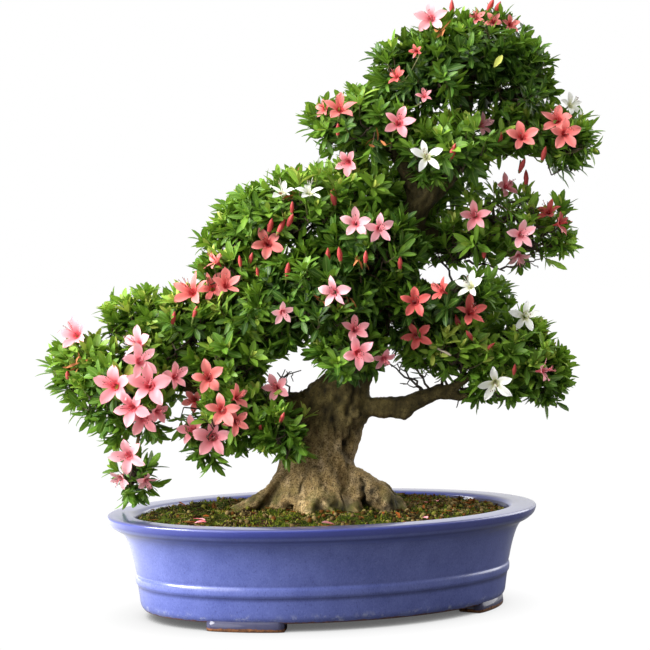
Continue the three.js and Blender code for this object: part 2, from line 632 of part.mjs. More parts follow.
// The pads' cores, each clear of the wood and of the cores before it.
const cores = {};
let coresSoFar = null;
for (const [name, lumps] of Object.entries(PADS)) {
  let core = joined(lumps.map((lump) => lumpSolid(lump, 0))).subtract(treeRoom);
  if (coresSoFar) core = core.subtract(coresSoFar);
  cores[name] = mainBody(core);
  const grown = joined(lumps.map((lump) => lumpSolid(lump, GAP)));
  coresSoFar = coresSoFar ? coresSoFar.add(grown) : grown;
}
const skins = Object.values(cores).map((core) => new THREE.Mesh(geometryFrom(core)));
const allCores = joined(Object.values(cores));

// Each truss stands out until it is clear of the wood and of the earlier trusses, and no more than
// its tubes reach into the pads, which leave room for them.
const trusses = [];
let flowersSoFar = null;
for (const [side, list] of [[-1, TRUSSES], [1, BACK_TRUSSES]]) {
  for (const [tint, flowers] of list) {
    const clear = Array.from({ length: 14 }, (_, i) => 3 * i).find((push) => {
      const grown = trussSolid(flowers, side, push, skins, GAP);
      const isClear = !meets(grown, treeRoom) && !(flowersSoFar && meets(grown, flowersSoFar));
      return isClear && grown.intersect(allCores).volume() < FLOWER.bedding * flowers.length;
    });
    if (clear === undefined) throw new Error(`no room for the truss at ${flowers[0]}`);
    const solid = trussSolid(flowers, side, clear, skins, 0);
    const room = trussSolid(flowers, side, clear, skins, 2 * GAP);
    for (const [name, core] of Object.entries(cores)) {
      if (meets(core, solid)) cores[name] = mainBody(core.subtract(room));
    }
    trusses.push({ tint, solid });
    flowersSoFar = flowersSoFar ? flowersSoFar.add(solid) : solid;
  }
}
const woodAndCores = joined([tree, ...Object.values(cores)]);

// Whorls and buds are kept where they grow out of their own pad and meet nothing else.
const pads = {};
const shootPlaces = [];
let others = woodAndCores.add(flowersSoFar);
for (const [name, lumps] of Object.entries(PADS)) {
  const core = cores[name];
  const taken = others.subtract(core);
  const grown = [];
  for (const lump of lumps) {
    for (const [index, shoot] of shootsOn(lump).entries()) {
      const [place, outward] = shoot;
      const turned = new THREE.Quaternion().setFromUnitVectors(new THREE.Vector3(0, 0, 1), outward);
      const matrix = new THREE.Matrix4().makeRotationFromQuaternion(turned).setPosition(place);
      const whorl = (grow) => solidFrom(whorlGeometry(2.4 * index, grow).applyMatrix4(matrix));
      if (isFreeShoot(shoot, whorl(0), lump, shootPlaces) && !meets(whorl(GAP), taken)) {
        grown.push(whorl(0));
        shootPlaces.push(place);
      }
    }
  }
  for (const [x, z] of BUDS) {
    const foot = new THREE.Vector3(x, faceOf(x, z, -1) + 5, z - 4);
    if (lumps.includes(nearestLump(foot))) {
      const bud = budSolid(foot, new THREE.Vector3(0.15, -0.55, 0.82).normalize());
      if (!meets(bud, taken) && meets(bud, core)) grown.push(bud);
    }
  }
  pads[name] = mainBody(joined([core, ...grown]).simplify(SLIVER));
  others = others.add(pads[name]);
}

// ---------------------------------------------------------------- the scene graph

const glaze = new THREE.MeshStandardMaterial({ color: 0x5a68b4, roughness: 0.25, metalness: 0 });
const mesh = new THREE.MeshStandardMaterial({ color: 0x22241f, roughness: 0.7, metalness: 0 });
const earth = new THREE.MeshStandardMaterial({ color: 0x4f5a2a, roughness: 0.95, metalness: 0 });
const bark = new THREE.MeshStandardMaterial({ color: 0x6b5a48, roughness: 0.9, metalness: 0 });
const leaf = new THREE.MeshStandardMaterial({ color: 0x3f7a26, roughness: 0.45, metalness: 0 });

function named(name, geometry, material) {
  const piece = new THREE.Mesh(geometry, material);
  piece.name = name;
  return piece;
}

const bonsai = new THREE.Group();
bonsai.add(named("pot", geometryFrom(potSolid()), glaze));

const floorTop = POT_INSIDE[POT_INSIDE.length - 1][1];
for (const [name, x] of [["drain_screen_left", -DRAIN.x], ["drain_screen_right", DRAIN.x]]) {
  const screen = named(name, geometryFrom(screenSolid()), mesh);
  screen.position.set(x, 0, floorTop + GAP + SCREEN.thick / 2);
  bonsai.add(screen);
}

const treeHole = solidFrom(inPot(geometryFrom(treeRoom)));
bonsai.add(named("soil", geometryFrom(soilSolid(treeHole)), earth));

const planting = new THREE.Group();
planting.rotation.z = TREE_TURN;
planting.position.copy(TREE_PLACE);
planting.add(named("tree", geometryFrom(tree), bark));
for (const [name, solid] of Object.entries(pads)) {
  planting.add(named(`foliage_${name}`, geometryFrom(solid), leaf));
}
trusses.forEach(({ tint, solid }, index) => {
  const petal = new THREE.MeshStandardMaterial({ color: TINTS[tint], roughness: 0.5, metalness: 0 });
  const number = String(index + 1).padStart(2, "0");
  planting.add(named(`flowers_${number}_${tint}`, geometryFrom(solid), petal));
});
bonsai.add(planting);

export default bonsai;
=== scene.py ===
"""The finished look of a satsuki azalea bonsai in flower, over its CAD frame.

Shapes are worked out in the tree's own axes in millimetres: X is the tree's width, Y its depth
(its front is at -Y) and Z its height above the floor. row() turns and scales them to the frame.
"""

import math

import bmesh
import bpy
import numpy as np
from mathutils import Matrix, Vector, noise
from mathutils.bvhtree import BVHTree

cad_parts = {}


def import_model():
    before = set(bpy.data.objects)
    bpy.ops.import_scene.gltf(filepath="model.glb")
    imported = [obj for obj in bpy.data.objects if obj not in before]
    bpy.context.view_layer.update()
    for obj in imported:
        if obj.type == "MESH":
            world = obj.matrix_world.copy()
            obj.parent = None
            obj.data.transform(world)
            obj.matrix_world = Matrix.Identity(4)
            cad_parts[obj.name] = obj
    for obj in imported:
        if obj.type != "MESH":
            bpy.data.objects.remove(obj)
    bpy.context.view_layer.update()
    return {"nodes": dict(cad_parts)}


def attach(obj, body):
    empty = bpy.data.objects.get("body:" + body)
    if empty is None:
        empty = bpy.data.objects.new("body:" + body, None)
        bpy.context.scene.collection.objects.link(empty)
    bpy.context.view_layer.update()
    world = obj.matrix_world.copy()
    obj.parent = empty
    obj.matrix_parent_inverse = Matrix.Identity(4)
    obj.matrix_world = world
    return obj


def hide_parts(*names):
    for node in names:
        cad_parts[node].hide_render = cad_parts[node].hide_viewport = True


MM = 0.001
TREE_TURN = math.radians(-22.5)  # the tree's front against the pot's
TREE_PLACE = (-3.1, 1.3)  # where the tree's axis stands in the pot

# ---------------------------------------------------------------- driving dimensions (mm)

# The camera stands in front of the tree, at the height of its middle.
CAMERA = {"distance": 2000, "height": 338.8, "pitch": 0.0259, "yaw": 0.0022, "roll": -0.0082}
LENS = {"focal": 109.4, "sensor": 36}
ROOM = {"front": 0.30, "back": 1.4}  # how bright the studio is before and behind the object
# Each light's degrees round from the tree's front, elevation, strength and angular size.
LIGHTS = {"key": (-72, 31, 7.8, 34), "low": (-45, 18, 1.7, 45), "top": (-22, 62, 1.0, 45),
          "fill": (122, 28, 1.9, 50)}

# The floor's painted shadow: its grey by how open the floor is.
FLOOR_SHADOW = [(0.0, 0.08), (0.22, 0.34), (0.38, 0.76), (0.58, 0.90), (0.95, 1.0)]  # openness, grey
FLOOR_BOUNCE = [(0.0, 0.88), (1.0, 0.12)]  # what the floor throws back, from its left to its right
SEED = 17

# The foliage pads, each a few lumps of leafy shoots: x, y, z, half width, half depth, half height.
PADS = {
    "apex": [(148, 0, 556, 56, 58, 38), (108, -12, 534, 48, 48, 36), (192, 6, 532, 44, 50, 36)],
    "right_shoulder": [(210, 8, 476, 52, 54, 31), (246, 0, 468, 27, 34, 22)],
    "left_shoulder": [(60, -10, 486, 52, 52, 36), (20, -14, 490, 27, 32, 21), (126, -36, 460, 50, 42, 30)],
    "upper_left": [(-24, -18, 400, 56, 54, 36), (-68, -10, 386, 35, 40, 26), (32, 2, 420, 42, 46, 32)],
    "heart": [(50, -44, 362, 56, 50, 38), (-4, -46, 316, 58, 54, 40), (78, -34, 308, 46, 46, 33),
              (128, -40, 318, 40, 38, 27)],
    "skirt": [(26, -54, 262, 36, 36, 27)],
    "left": [(-74, -14, 346, 42, 42, 28), (-72, -20, 304, 46, 48, 33), (-124, -14, 292, 40, 44, 31),
             (-86, -26, 250, 42, 42, 30), (-82, -32, 202, 46, 42, 31), (-36, -52, 184, 26, 26, 25)],
    "far_left": [(-176, 4, 290, 36, 38, 29), (-186, -16, 232, 54, 50, 42), (-234, -8, 244, 34, 36, 30)],
    "droop": [(-188, -26, 142, 17, 16, 17)],
    "right_low": [(132, -18, 264, 48, 48, 31), (190, -8, 260, 46, 46, 33), (218, -6, 236, 26, 32, 24),
                  (178, -18, 228, 32, 30, 20)],
    "right_middle": [(148, 20, 368, 40, 42, 27), (180, 14, 398, 42, 38, 24), (216, 8, 374, 38, 32, 24)],
    "back_heart": [(40, 74, 334, 64, 46, 48), (108, 62, 424, 50, 42, 44), (72, 66, 380, 44, 40, 36)],
    "back_left": [(-92, 50, 282, 50, 40, 36), (-22, 52, 296, 38, 32, 26)],
    "back_right": [(150, 56, 296, 52, 38, 38)],
}
ALL_LUMPS = np.array([lump for lumps in PADS.values() for lump in lumps], float)
# Openings right through the foliage, each an ellipse: x, z, half width, half height.
CLEARINGS = [(-32, 240, 24, 16), (84, 228, 27, 12), (122, 337, 26, 9), (206, 448, 30, 8),
             (234, 326, 34, 18), (189, 528, 8, 4), (-3, 170, 13, 22)]
# The share of shoots kept, where that is not all of them.
AIRY = {"right_middle": 0.45, "right_low": 0.85, "right_shoulder": 0.9, "droop": 0.3,
        "far_left": 0.95, "back_heart": 0.72, "back_left": 0.75, "back_right": 0.75}
SPACING = 15.9  # between neighbouring shoots on a lump
# The outer and the inner shell of shoots on a lump: mm between neighbours, least and most depth,
# and how far out of the other lumps a shoot keeps.
SHELLS = [(SPACING, 0.74, 1.03, 0.80), (1.6 * SPACING, 0.46, 0.7, 0.6)]
# Shoots that stand out of the pads: where they start, and where they point.
LEADERS = [
    (182, -4, 592, 0.1, 1), (176, 10, 590, -0.1, 1), (146, -6, 590, -0.1, 1), (126, 0, 584, -0.2, 1),
    (196, 0, 582, 0.4, 1), (205, -6, 570, 0.5, 0.9), (164, 6, 592, 0.0, 1), (112, -8, 578, -0.4, 1),
    (222, -6, 546, 0.9, 0.5), (92, -10, 564, -0.7, 0.8), (82, -14, 552, -0.9, 0.5),
    (258, -2, 480, 0.9, 0.4), (262, 2, 462, 1, 0.1), (250, -6, 452, 1, -0.1), (226, -8, 492, 0.7, 0.8),
    (52, -16, 512, -0.4, 1), (28, -18, 506, -0.6, 0.8), (-2, -16, 492, -1, 0.3), (36, -14, 514, -0.2, 1),
    (-84, -12, 400, -0.8, 0.6), (-96, -14, 384, -1, 0.3), (-58, -16, 420, -0.5, 0.9),
    (-34, -18, 432, -0.2, 1),
    (-112, -14, 366, -0.9, 0.5), (-104, -14, 342, -1, 0.3), (-176, 0, 316, -0.2, 1),
    (-196, 0, 310, -0.6, 0.9),
    (-214, -4, 296, -0.8, 0.6), (-252, -10, 262, -0.9, 0.4), (-262, -10, 246, -1, 0.1),
    (-258, -10, 228, -1, -0.4), (-244, -12, 212, -0.8, -0.6), (-226, -14, 200, -0.5, -0.8),
    (236, -8, 250, 1, 0.4), (240, -6, 234, 1, 0.1), (236, -8, 222, 0.9, -0.5), (222, -10, 214, 0.6, -0.8),
    (218, -10, 276, 0.8, 0.8), (204, -12, 288, 0.4, 1), (246, 6, 384, 1, 0.2), (250, 4, 372, 1, -0.1),
    (240, 6, 398, 0.7, 0.8), (-36, -60, 166, -0.2, -1), (-52, -58, 172, -0.4, -0.9),
    (-22, -62, 172, 0.3, -0.8), (-132, -40, 186, -0.2, -1), (-112, -44, 178, 0.1, -1),
    (-86, -46, 176, 0.1, -1), (-176, -30, 128, 0.4, -0.8), (-190, -30, 124, -0.3, -0.9),
    (-216, -24, 192, -0.4, -0.9), (-198, -26, 186, -0.1, -1), (-206, -22, 178, -0.3, -0.9),
    (-174, -28, 184, 0.2, -1), (-120, -44, 166, -0.1, -1), (-108, -46, 160, 0.1, -1),
    (-152, -24, 256, -0.2, -0.8), (-146, -26, 246, 0.1, -0.9), (-156, -24, 244, -0.1, -0.9),
    (66, -42, 268, -0.1, -1), (76, -44, 276, 0.1, -0.9), (86, -38, 266, 0.2, -0.9), (94, -34, 270, 0.3, -0.8),
    (-52, -34, 266, 0.2, -1), (-34, -40, 272, 0.1, -1), (-12, -42, 270, 0.1, -1),
]
CLUMPS = {"size": 24, "sparse_under": -0.16, "share": 0.3}  # noise that leaves parts of a pad sparse
# How young a shoot's leaves are, from 0 to 1, which also paints their light: at least, more at its top and
# outside, partly as painted light above and painted shade within, and more when in flush.
AGE = {"least": 0.22, "top": 0.2, "outside": 0.15, "flush": 0.16, "scatter": 0.09}
FLUSH = {"share": 0.24, "slimmer": 0.78}  # the shoots that have just grown
LEAN = {"outward": 0.72, "scatter": 0.26}  # where a shoot points, besides up
# Leaves stay out of the space before a flower: mm, and shares of its width. A few are let through.
FLOWER_ROOM = {"ahead": 70, "behind": 0.1, "aside": 0.44, "in_view": 0.38, "let_through": 0.07}
# How much lighter or darker the leaves of a pad are painted, as the light or shade that reaches the pad.
PAINTED_PAD_LIGHT = {"apex": -0.22, "heart": -0.20, "left_shoulder": -0.05, "skirt": -0.05, "upper_left": 0.05,
         "left": 0.04, "far_left": 0.06, "right_low": 0.08, "right_middle": 0.08}
BULGE = {"height": 0.34, "size": 36}  # how unevenly the lumps swell
LEAF = {"length": 19.3, "width": 7.0}
# The leaves of a shoot, from its tip down its stem: how many, least and most degrees away from the
# stem, length and width as parts of a leaf's, mm below the tip, how much younger, and curl.
WHORLS = [
    (6, 24, 60, 1.0, 1.0, 0, 0.0, 1.0),
    (3, 6, 24, 0.55, 0.6, -2, 0.2, 0.4),
    (4, 48, 86, 1.0, 1.05, 7, -0.08, 0.8),
    (2, 66, 110, 0.9, 1.0, 14, -0.16, 0.8),
]

# Unopened flower buds: x, z on the face of the tree.
BUDS = [
    (135, 606), (174, 608), (181, 605), (19, 484), (135, 461), (183, 473), (259, 449), (227, 458),
    (205, 447), (209, 434), (14, 415), (-28, 406), (-30, 393), (-50, 388), (-39, 387), (15, 416),
    (-20, 440), (-70, 355), (-81, 352), (-33, 343), (-13, 348), (8, 358), (20, 358), (-63, 340),
    (46, 355), (81, 349), (106, 368), (166, 359), (-257, 238), (-40, 193), (-61, 186), (-149, 295),
    (-101, 270), (-127, 301), (139, 288), (151, 275), (171, 263), (196, 240),
]

# The open flowers in their trusses, one truss for each CAD flower node. Each flower is x, z,
# degrees it faces to the right, degrees it faces up, roll and width across.
TRUSSES = [
    ("pale", [(113, 597, -12, 6, 0, 35)]),
    ("salmon", [(160, 598, 10, 35, 10, 21), (177, 593, 0, 20, 30, 20), (195, 590, 20, 15, 0, 20)]),
    ("coral", [(77, 539, -40, 30, 0, 21), (98, 563, -30, 5, 20, 16)]),
    ("salmon", [(4, 507, -40, 20, 10, 23), (21, 509, 0, 40, 0, 36)]),
    ("pink", [(107, 519, 0, 30, 15, 18), (81, 492, 0, 10, -10, 34)]),
    ("white", [(109, 458, 0, 12, 8, 34)]),
    ("pale", [(168, 489, 42, 14, 0, 27)]),
    ("salmon", [(206, 477, 0, 15, 10, 34)]),
    ("salmon", [(240, 495, -20, 25, 0, 35), (250, 479, 12, 0, 4, 34)]),
    ("white", [(257, 509, 30, 20, 0, 28)]),
    ("pink", [(27, 451, -30, -10, 36, 28)]),
    ("pink", [(191, 427, 30, 20, 10, 28)]),
    ("pink", [(157, 396, -10, 0, 10, 32)]),
    ("coral", [(230, 402, -30, 40, 0, 28), (246, 388, 55, 10, 0, 26)]),
    ("pale", [(205, 377, 10, 0, 4, 34), (201, 352, 0, -55, 0, 26)]),
    ("pale", [(36, 391, -5, 10, 0, 32), (61, 384, 6, -5, 0, 32)]),
    ("white", [(-38, 425, -12, 55, 0, 28), (-10, 425, 8, 55, 0, 31)]),
    ("salmon", [(-53, 371, 0, 10, 30, 36)]),
    ("salmon", [(-108, 355, -55, 40, 0, 28), (-94, 331, 18, 35, 0, 34), (-112, 327, -22, 20, 30, 34),
                (-133, 325, -28, 30, 0, 42)]),
    ("pale", [(13, 320, -10, 0, 0, 34)]),
    ("pale", [(-38, 299, 10, -20, 10, 25)]),
    ("pink", [(36, 284, 10, 20, 0, 30), (39, 257, 12, -10, 36, 35), (65, 250, 15, -30, 0, 25)]),
    ("coral", [(96, 310, 0, 5, 0, 32), (120, 322, -50, 20, 0, 27)]),
    ("coral", [(153, 300, 12, 18, 0, 35)]),
    ("coral", [(98, 275, 0, 0, 20, 32)]),
    ("white", [(150, 327, -30, 25, 0, 31)]),
    ("white", [(208, 294, 0, 5, 0, 34)]),
    ("white", [(176, 224, -8, -18, 8, 39)]),
    ("pink", [(229, 239, 65, 5, 0, 27)]),
    ("pink", [(-251, 282, -32, 28, 20, 39)]),
    ("pale", [(-189, 271, -38, 15, 0, 36), (-181, 253, 28, 12, 10, 38)]),
    ("pink", [(-212, 228, -18, 10, 10, 43)]),
    ("pink", [(-175, 228, 0, 10, 0, 45), (-146, 237, 30, 20, 0, 30)]),
    ("pink", [(-194, 204, -12, -5, 30, 39), (-180, 192, 10, -12, 0, 36), (-164, 200, 40, -8, 0, 26)]),
    ("salmon", [(-115, 235, 0, 10, 10, 37), (-130, 211, -20, -8, 30, 27)]),
    ("salmon", [(-101, 202, 0, 5, 0, 37), (-83, 215, 45, 20, 0, 27), (-86, 189, 10, -4, 30, 28)]),
    ("pink", [(-133, 182, -24, 6, 10, 31), (-111, 173, -4, 2, 0, 41)]),
    ("pale", [(-198, 155, -12, -5, 20, 42), (-206, 131, -30, -35, 35, 24), (-177, 128, 25, -40, 0, 24)]),
    ("pink", [(-46, 224, -8, 6, 20, 30)]),
]
# Flowers on the back of the tree, given as the others are.
BACK_TRUSSES = [
    ("pink", [(20, 366, 8, 14, 0, 36), (52, 338, -14, 4, 20, 33), (18, 318, 6, -8, 0, 31)]),
    ("salmon", [(120, 452, 5, 22, 10, 36), (94, 424, -16, 8, 0, 33)]),
]

POT = {"half_length": 225, "half_width": 167, "segments": 192}
# The pot's section as inset from the rim's edge, height and how round the corner there is.
POT_SECTION = [
    (60, 8, 0), (36.5, 8, 1.2), (33, 12.5, 3), (31.3, 26, 4), (30.2, 32.5, 0.8), (28.3, 35.3, 1.4),
    (28.1, 41, 1.8), (29.3, 43.6, 1.2), (28.4, 46.5, 2), (25.7, 60, 6), (22.3, 72, 6), (19, 80, 3),
    (15.5, 85, 3), (7.5, 89, 3), (3.4, 92.6, 1.2), (1.7, 94.8, 1.5), (0, 100.2, 1.5), (1.8, 102, 1.3),
    (24, 102, 2.5), (28, 99.5, 2), (38, 68, 4), (43, 27, 4), (52, 20, 3), (100, 20, 0),
]
POT_INSIDE = 19  # the corners of the section before its inner wall
CORNER_STEPS = 4
# How dark the pot's inside is painted, as shade, and how rough it is; the feet take a tone of 1.
INNER_SHADE = 0.9
DRAIN = {"radius": 12, "x": 78}
FOOT = {"inset": 34, "width": 24, "sweep": 26, "top": 12}
FOOT_BEARINGS = [-131.8, -36, 48.2, 142.5]
SOIL = {"inset": 31.2, "edge": 96, "tilt": 2.6, "mound": 12}
SOIL_BODY = [(33.5, 82), (38.5, 68), (43.5, 27), (50, 21.6)]  # inset and height down the pot's wall
FALLEN = [(-158, -48), (-149, -62), (104, -24), (112, -30), (60, -104), (-40, -118), (20, 96)]  # petals

# ---------------------------------------------------------------- colours and marks

RAMPS = {
    "glaze": [(0.35, (0.068, 0.089, 0.290)), (0.65, (0.096, 0.121, 0.355))],
    "clay": [(0.3, (0.05, 0.020, 0.008)), (0.7, (0.24, 0.09, 0.025))],
    "wood": [(0.30, (0.22, 0.140, 0.045)), (0.5, (0.42, 0.295, 0.125)), (0.66, (0.60, 0.445, 0.235)),
             (0.8, (0.78, 0.60, 0.40))],
    "old_wood_and_shade": [(0.3, (0.042, 0.032, 0.009)), (0.55, (0.15, 0.112, 0.034)), (0.8, (0.32, 0.25, 0.085))],
    "bark_moss": [(0.3, (0.030, 0.040, 0.005)), (0.7, (0.17, 0.18, 0.025))],
    "leaf": [(0.05, (0.011, 0.032, 0.005)), (0.32, (0.034, 0.093, 0.009)), (0.58, (0.098, 0.210, 0.017)),
             (0.80, (0.21, 0.36, 0.036)), (1.0, (0.48, 0.50, 0.10))],
    "twig": [(0.1, (0.035, 0.022, 0.012)), (0.6, (0.085, 0.055, 0.025)), (1.0, (0.13, 0.17, 0.03))],
    "earth": [(0.38, (0.004, 0.003, 0.001)), (0.54, (0.022, 0.012, 0.003)), (0.68, (0.11, 0.06, 0.014))],
    "moss": [(0.38, (0.006, 0.011, 0.001)), (0.54, (0.038, 0.058, 0.003)), (0.68, (0.17, 0.20, 0.013))],
    "litter": [(0.0, (0.006, 0.011, 0.001)), (0.2, (0.034, 0.050, 0.002)), (0.45, (0.14, 0.165, 0.009)),
               (0.65, (0.23, 0.165, 0.07)), (0.8, (0.036, 0.015, 0.004)), (1.0, (0.30, 0.065, 0.010))],
    "crumb": [(0.3, (0.003, 0.003, 0.0005)), (0.7, (0.10, 0.075, 0.012))],
}
# Glaze colours: pool also paints the shade under the band and the rim, rim paints the rim's edge darker as
# shade, and inner paints shade inside the pot and on its feet.
GLAZE_TINTS = {"pale": (0.17, 0.21, 0.48), "dark": (0.012, 0.018, 0.09), "pool": (0.006, 0.010, 0.07),
               "crawled": (0.22, 0.25, 0.38), "salt": (0.40, 0.42, 0.50), "rim": (0.022, 0.030, 0.20),
               "top": (0.060, 0.062, 0.10), "inner": (0.020, 0.018, 0.045)}
# Heights on the pot, in metres, between which each mark comes in.
POT_MARKS = {"bare": (0.0008, 0.0018), "lip": (0.0056, 0.0066), "above_lip": (0.0092, 0.0102),
             "salt": (0.0095, 0.0110), "above_salt": (0.0120, 0.0190), "rim": (0.0925, 0.0945),
             "top": (0.1003, 0.1016)}
# Dark glaze pooled under the band and the rim, which also stands in as painted shade that falls there.
POOLS_AND_SHADE = [(0.0285, 0.0355), (0.0865, 0.0925)]  # dark glaze gathers under the band and the rim
# Bark colours: flecks; the limb colour is painted shade of the foliage, and the crevice colour paints shade
# wherever the tree's tone is dark.
BARK_TINTS = {"fleck": (0.12, 0.07, 0.025), "old_fleck": (0.045, 0.036, 0.012),
              "limb": (0.030, 0.026, 0.010), "crevice_shade": (0.007, 0.006, 0.003)}
# Heights on the tree, in metres, between which the bark ages and darkens, partly as painted shade of the
# foliage, loses its moss and turns into limbs, which are painted dark as shade.
BARK_LEVELS = {"old": (0.174, 0.237), "moss_end": (0.100, 0.138), "limbs": (0.19, 0.30)}
# The open flowers' petals: how broad, and their colour at the edge, in the middle and in the throat.
PETALS = {
    "coral": (0.98, (0.74, 0.15, 0.13), (0.62, 0.08, 0.07), (0.46, 0.03, 0.03)),
    "salmon": (1.06, (0.90, 0.31, 0.28), (0.78, 0.17, 0.15), (0.55, 0.05, 0.05)),
    "pink": (1.1, (0.96, 0.46, 0.50), (0.90, 0.28, 0.32), (0.72, 0.12, 0.15)),
    "pale": (1.02, (0.94, 0.54, 0.58), (0.90, 0.38, 0.42), (0.76, 0.20, 0.24)),
    "white": (0.88, (0.95, 0.94, 0.93), (0.88, 0.88, 0.82), (0.66, 0.66, 0.40)),
}


def turned(vectors, angle):
    """Vectors (n, 3) turned about Z."""
    x, y, z = np.moveaxis(np.asarray(vectors, float), -1, 0)
    c, s = math.cos(angle), math.sin(angle)
    return np.stack([c * x - s * y, s * x + c * y, z], -1)


def row(points):
    """Points in the tree's axes, in mm, as points of the frame, in metres."""
    return (turned(points, TREE_TURN) + (*TREE_PLACE, 0)) * MM


def tree_axes(points):
    """Points of the frame, in metres, as points in the tree's axes, in mm."""
    return turned(np.asarray(points, float) / MM - (*TREE_PLACE, 0), -TREE_TURN)


def unit(vectors):
    """The vectors at length 1."""
    vectors = np.asarray(vectors, float)
    return vectors / np.maximum(np.linalg.norm(vectors, axis=-1, keepdims=True), 1e-9)

def lying(heading, rise):
    """Directions at those headings in the plane, with a rise of their own."""
    return np.stack(np.broadcast_arrays(np.cos(heading), np.sin(heading), rise), -1)


def bend(start, control, end, steps):
    """A curve (steps, n) from start to end that bends towards the control point."""
    share = np.linspace(0, 1, steps)[:, None]
    return (1 - share) ** 2 * start + 2 * share * (1 - share) * control + share ** 2 * end


# ---------------------------------------------------------------- gathering shapes into pieces


def grid_quads(rows, columns, closed=False):
    """Quads over a grid of points, row after row. A closed grid joins its last column to its first."""
    across = columns if closed else columns - 1
    i, j = np.meshgrid(np.arange(rows - 1), np.arange(across), indexing="ij")
    start, right = i * columns + j, i * columns + (j + 1) % columns
    return np.stack([start, right, right + columns, start + columns], -1).reshape(-1, 4)

def tubes(paths, radii, sides):
    """Round tubes along one path (k, 3) or more (copies, k, 3), with a radius at each point."""
    paths = np.asarray(paths, float)
    paths = paths.reshape(-1, *paths.shape[-2:])
    along = unit(np.gradient(paths, axis=1))
    side = unit(np.cross(along, (0.31, 0.52, 0.79)))
    up = np.cross(along, side)
    angle = 2 * np.pi * np.arange(sides) / sides
    ring = np.cos(angle)[:, None] * side[..., None, :] + np.sin(angle)[:, None] * up[..., None, :]
    points = paths[:, :, None] + np.atleast_2d(radii)[..., None, None] * ring
    copies, k = paths.shape[:2]
    return points.reshape(copies, k * sides, 3), grid_quads(k, sides, closed=True)


class Collector:
    """Many small shapes of quads that become one mesh. Every point has a tone and a UV."""

    def __init__(self, in_tree_axes=True):
        self.in_tree_axes = in_tree_axes
        self.shapes = []
        self.count = 0

    def add(self, points, quads, tone=0.0, uv=(0.0, 0.0), slot=0):
        """points is (copies, n, 3) and quads (m, 4), which index the points of one copy."""
        copies, n = points.shape[:2]
        starts = self.count + n * np.arange(copies)[:, None, None]
        self.shapes.append({
            "points": points.reshape(-1, 3),
            "quads": (quads[None] + starts).reshape(-1, 4),
            "tone": np.broadcast_to(tone, (copies, n)).reshape(-1),
            "uv": np.broadcast_to(uv, (copies, n, 2)).reshape(-1, 2),
            "slot": np.full(copies * len(quads), slot),
        })
        self.count += copies * n

    def add_grid(self, points, closed=True, flipped=False, **look):
        """A skin over rows of points (rows, n, 3). In a closed grid each row is a ring."""
        quads = grid_quads(*points.shape[:2], closed)
        self.add(points.reshape(1, -1, 3), quads[:, ::-1] if flipped else quads, **look)

    def add_tubes(self, paths, radii, sides, **look):
        """Tubes as tubes() makes them."""
        self.add(*tubes(paths, radii, sides), **look)

    def add_leaves(self, *shape, **look):
        """Leaves as leaf_blades() makes them."""
        points, quads, uv = leaf_blades(*shape)
        self.add(points, quads, uv=uv, **look)

    def mesh(self, name):
        """One smooth-shaded mesh of all the shapes."""
        gathered = {key: np.concatenate([s[key] for s in self.shapes]) for key in self.shapes[0]}
        points, quads = gathered["points"], gathered["quads"]
        points = row(points) if self.in_tree_axes else points * MM
        mesh = bpy.data.meshes.new(name)
        mesh.vertices.add(len(points))
        mesh.vertices.foreach_set("co", points.ravel())
        mesh.loops.add(quads.size)
        mesh.loops.foreach_set("vertex_index", quads.ravel())
        mesh.polygons.add(len(quads))
        mesh.polygons.foreach_set("loop_start", np.arange(0, quads.size, 4))
        mesh.polygons.foreach_set("material_index", gathered["slot"])
        set_tone(mesh, gathered["tone"])
        uv = mesh.uv_layers.new(name="UVMap")
        uv.data.foreach_set("uv", gathered["uv"][quads.ravel()].ravel())
        mesh.update(calc_edges=True)
        mesh.shade_smooth()
        return mesh

    def piece(self, name, materials, record_slot, *nodes):
        """One object of all the shapes, riding on the root."""
        return placed(self.mesh(name), materials, record_slot, *nodes)


def set_tone(mesh, tone):
    """Gives each point of the mesh its tone."""
    mesh.attributes.new("tone", "FLOAT", "POINT").data.foreach_set("value", tone)


def vertex_values(mesh, key):
    """The place ("co") or "normal" of each of the mesh's points, as (n, 3)."""
    flat = np.empty(len(mesh.vertices) * 3)
    mesh.vertices.foreach_get(key, flat)
    return flat.reshape(-1, 3)


def placed(mesh, materials, record_slot, *nodes):
    """An object for the mesh, riding on the root and standing for the CAD nodes named."""
    for material in materials:
        mesh.materials.append(material)
    piece = bpy.data.objects.new(mesh.name, mesh)
    bpy.context.scene.collection.objects.link(piece)
    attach(piece, "root")
    if nodes:
        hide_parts(*nodes)
    return piece


# ---------------------------------------------------------------- materials


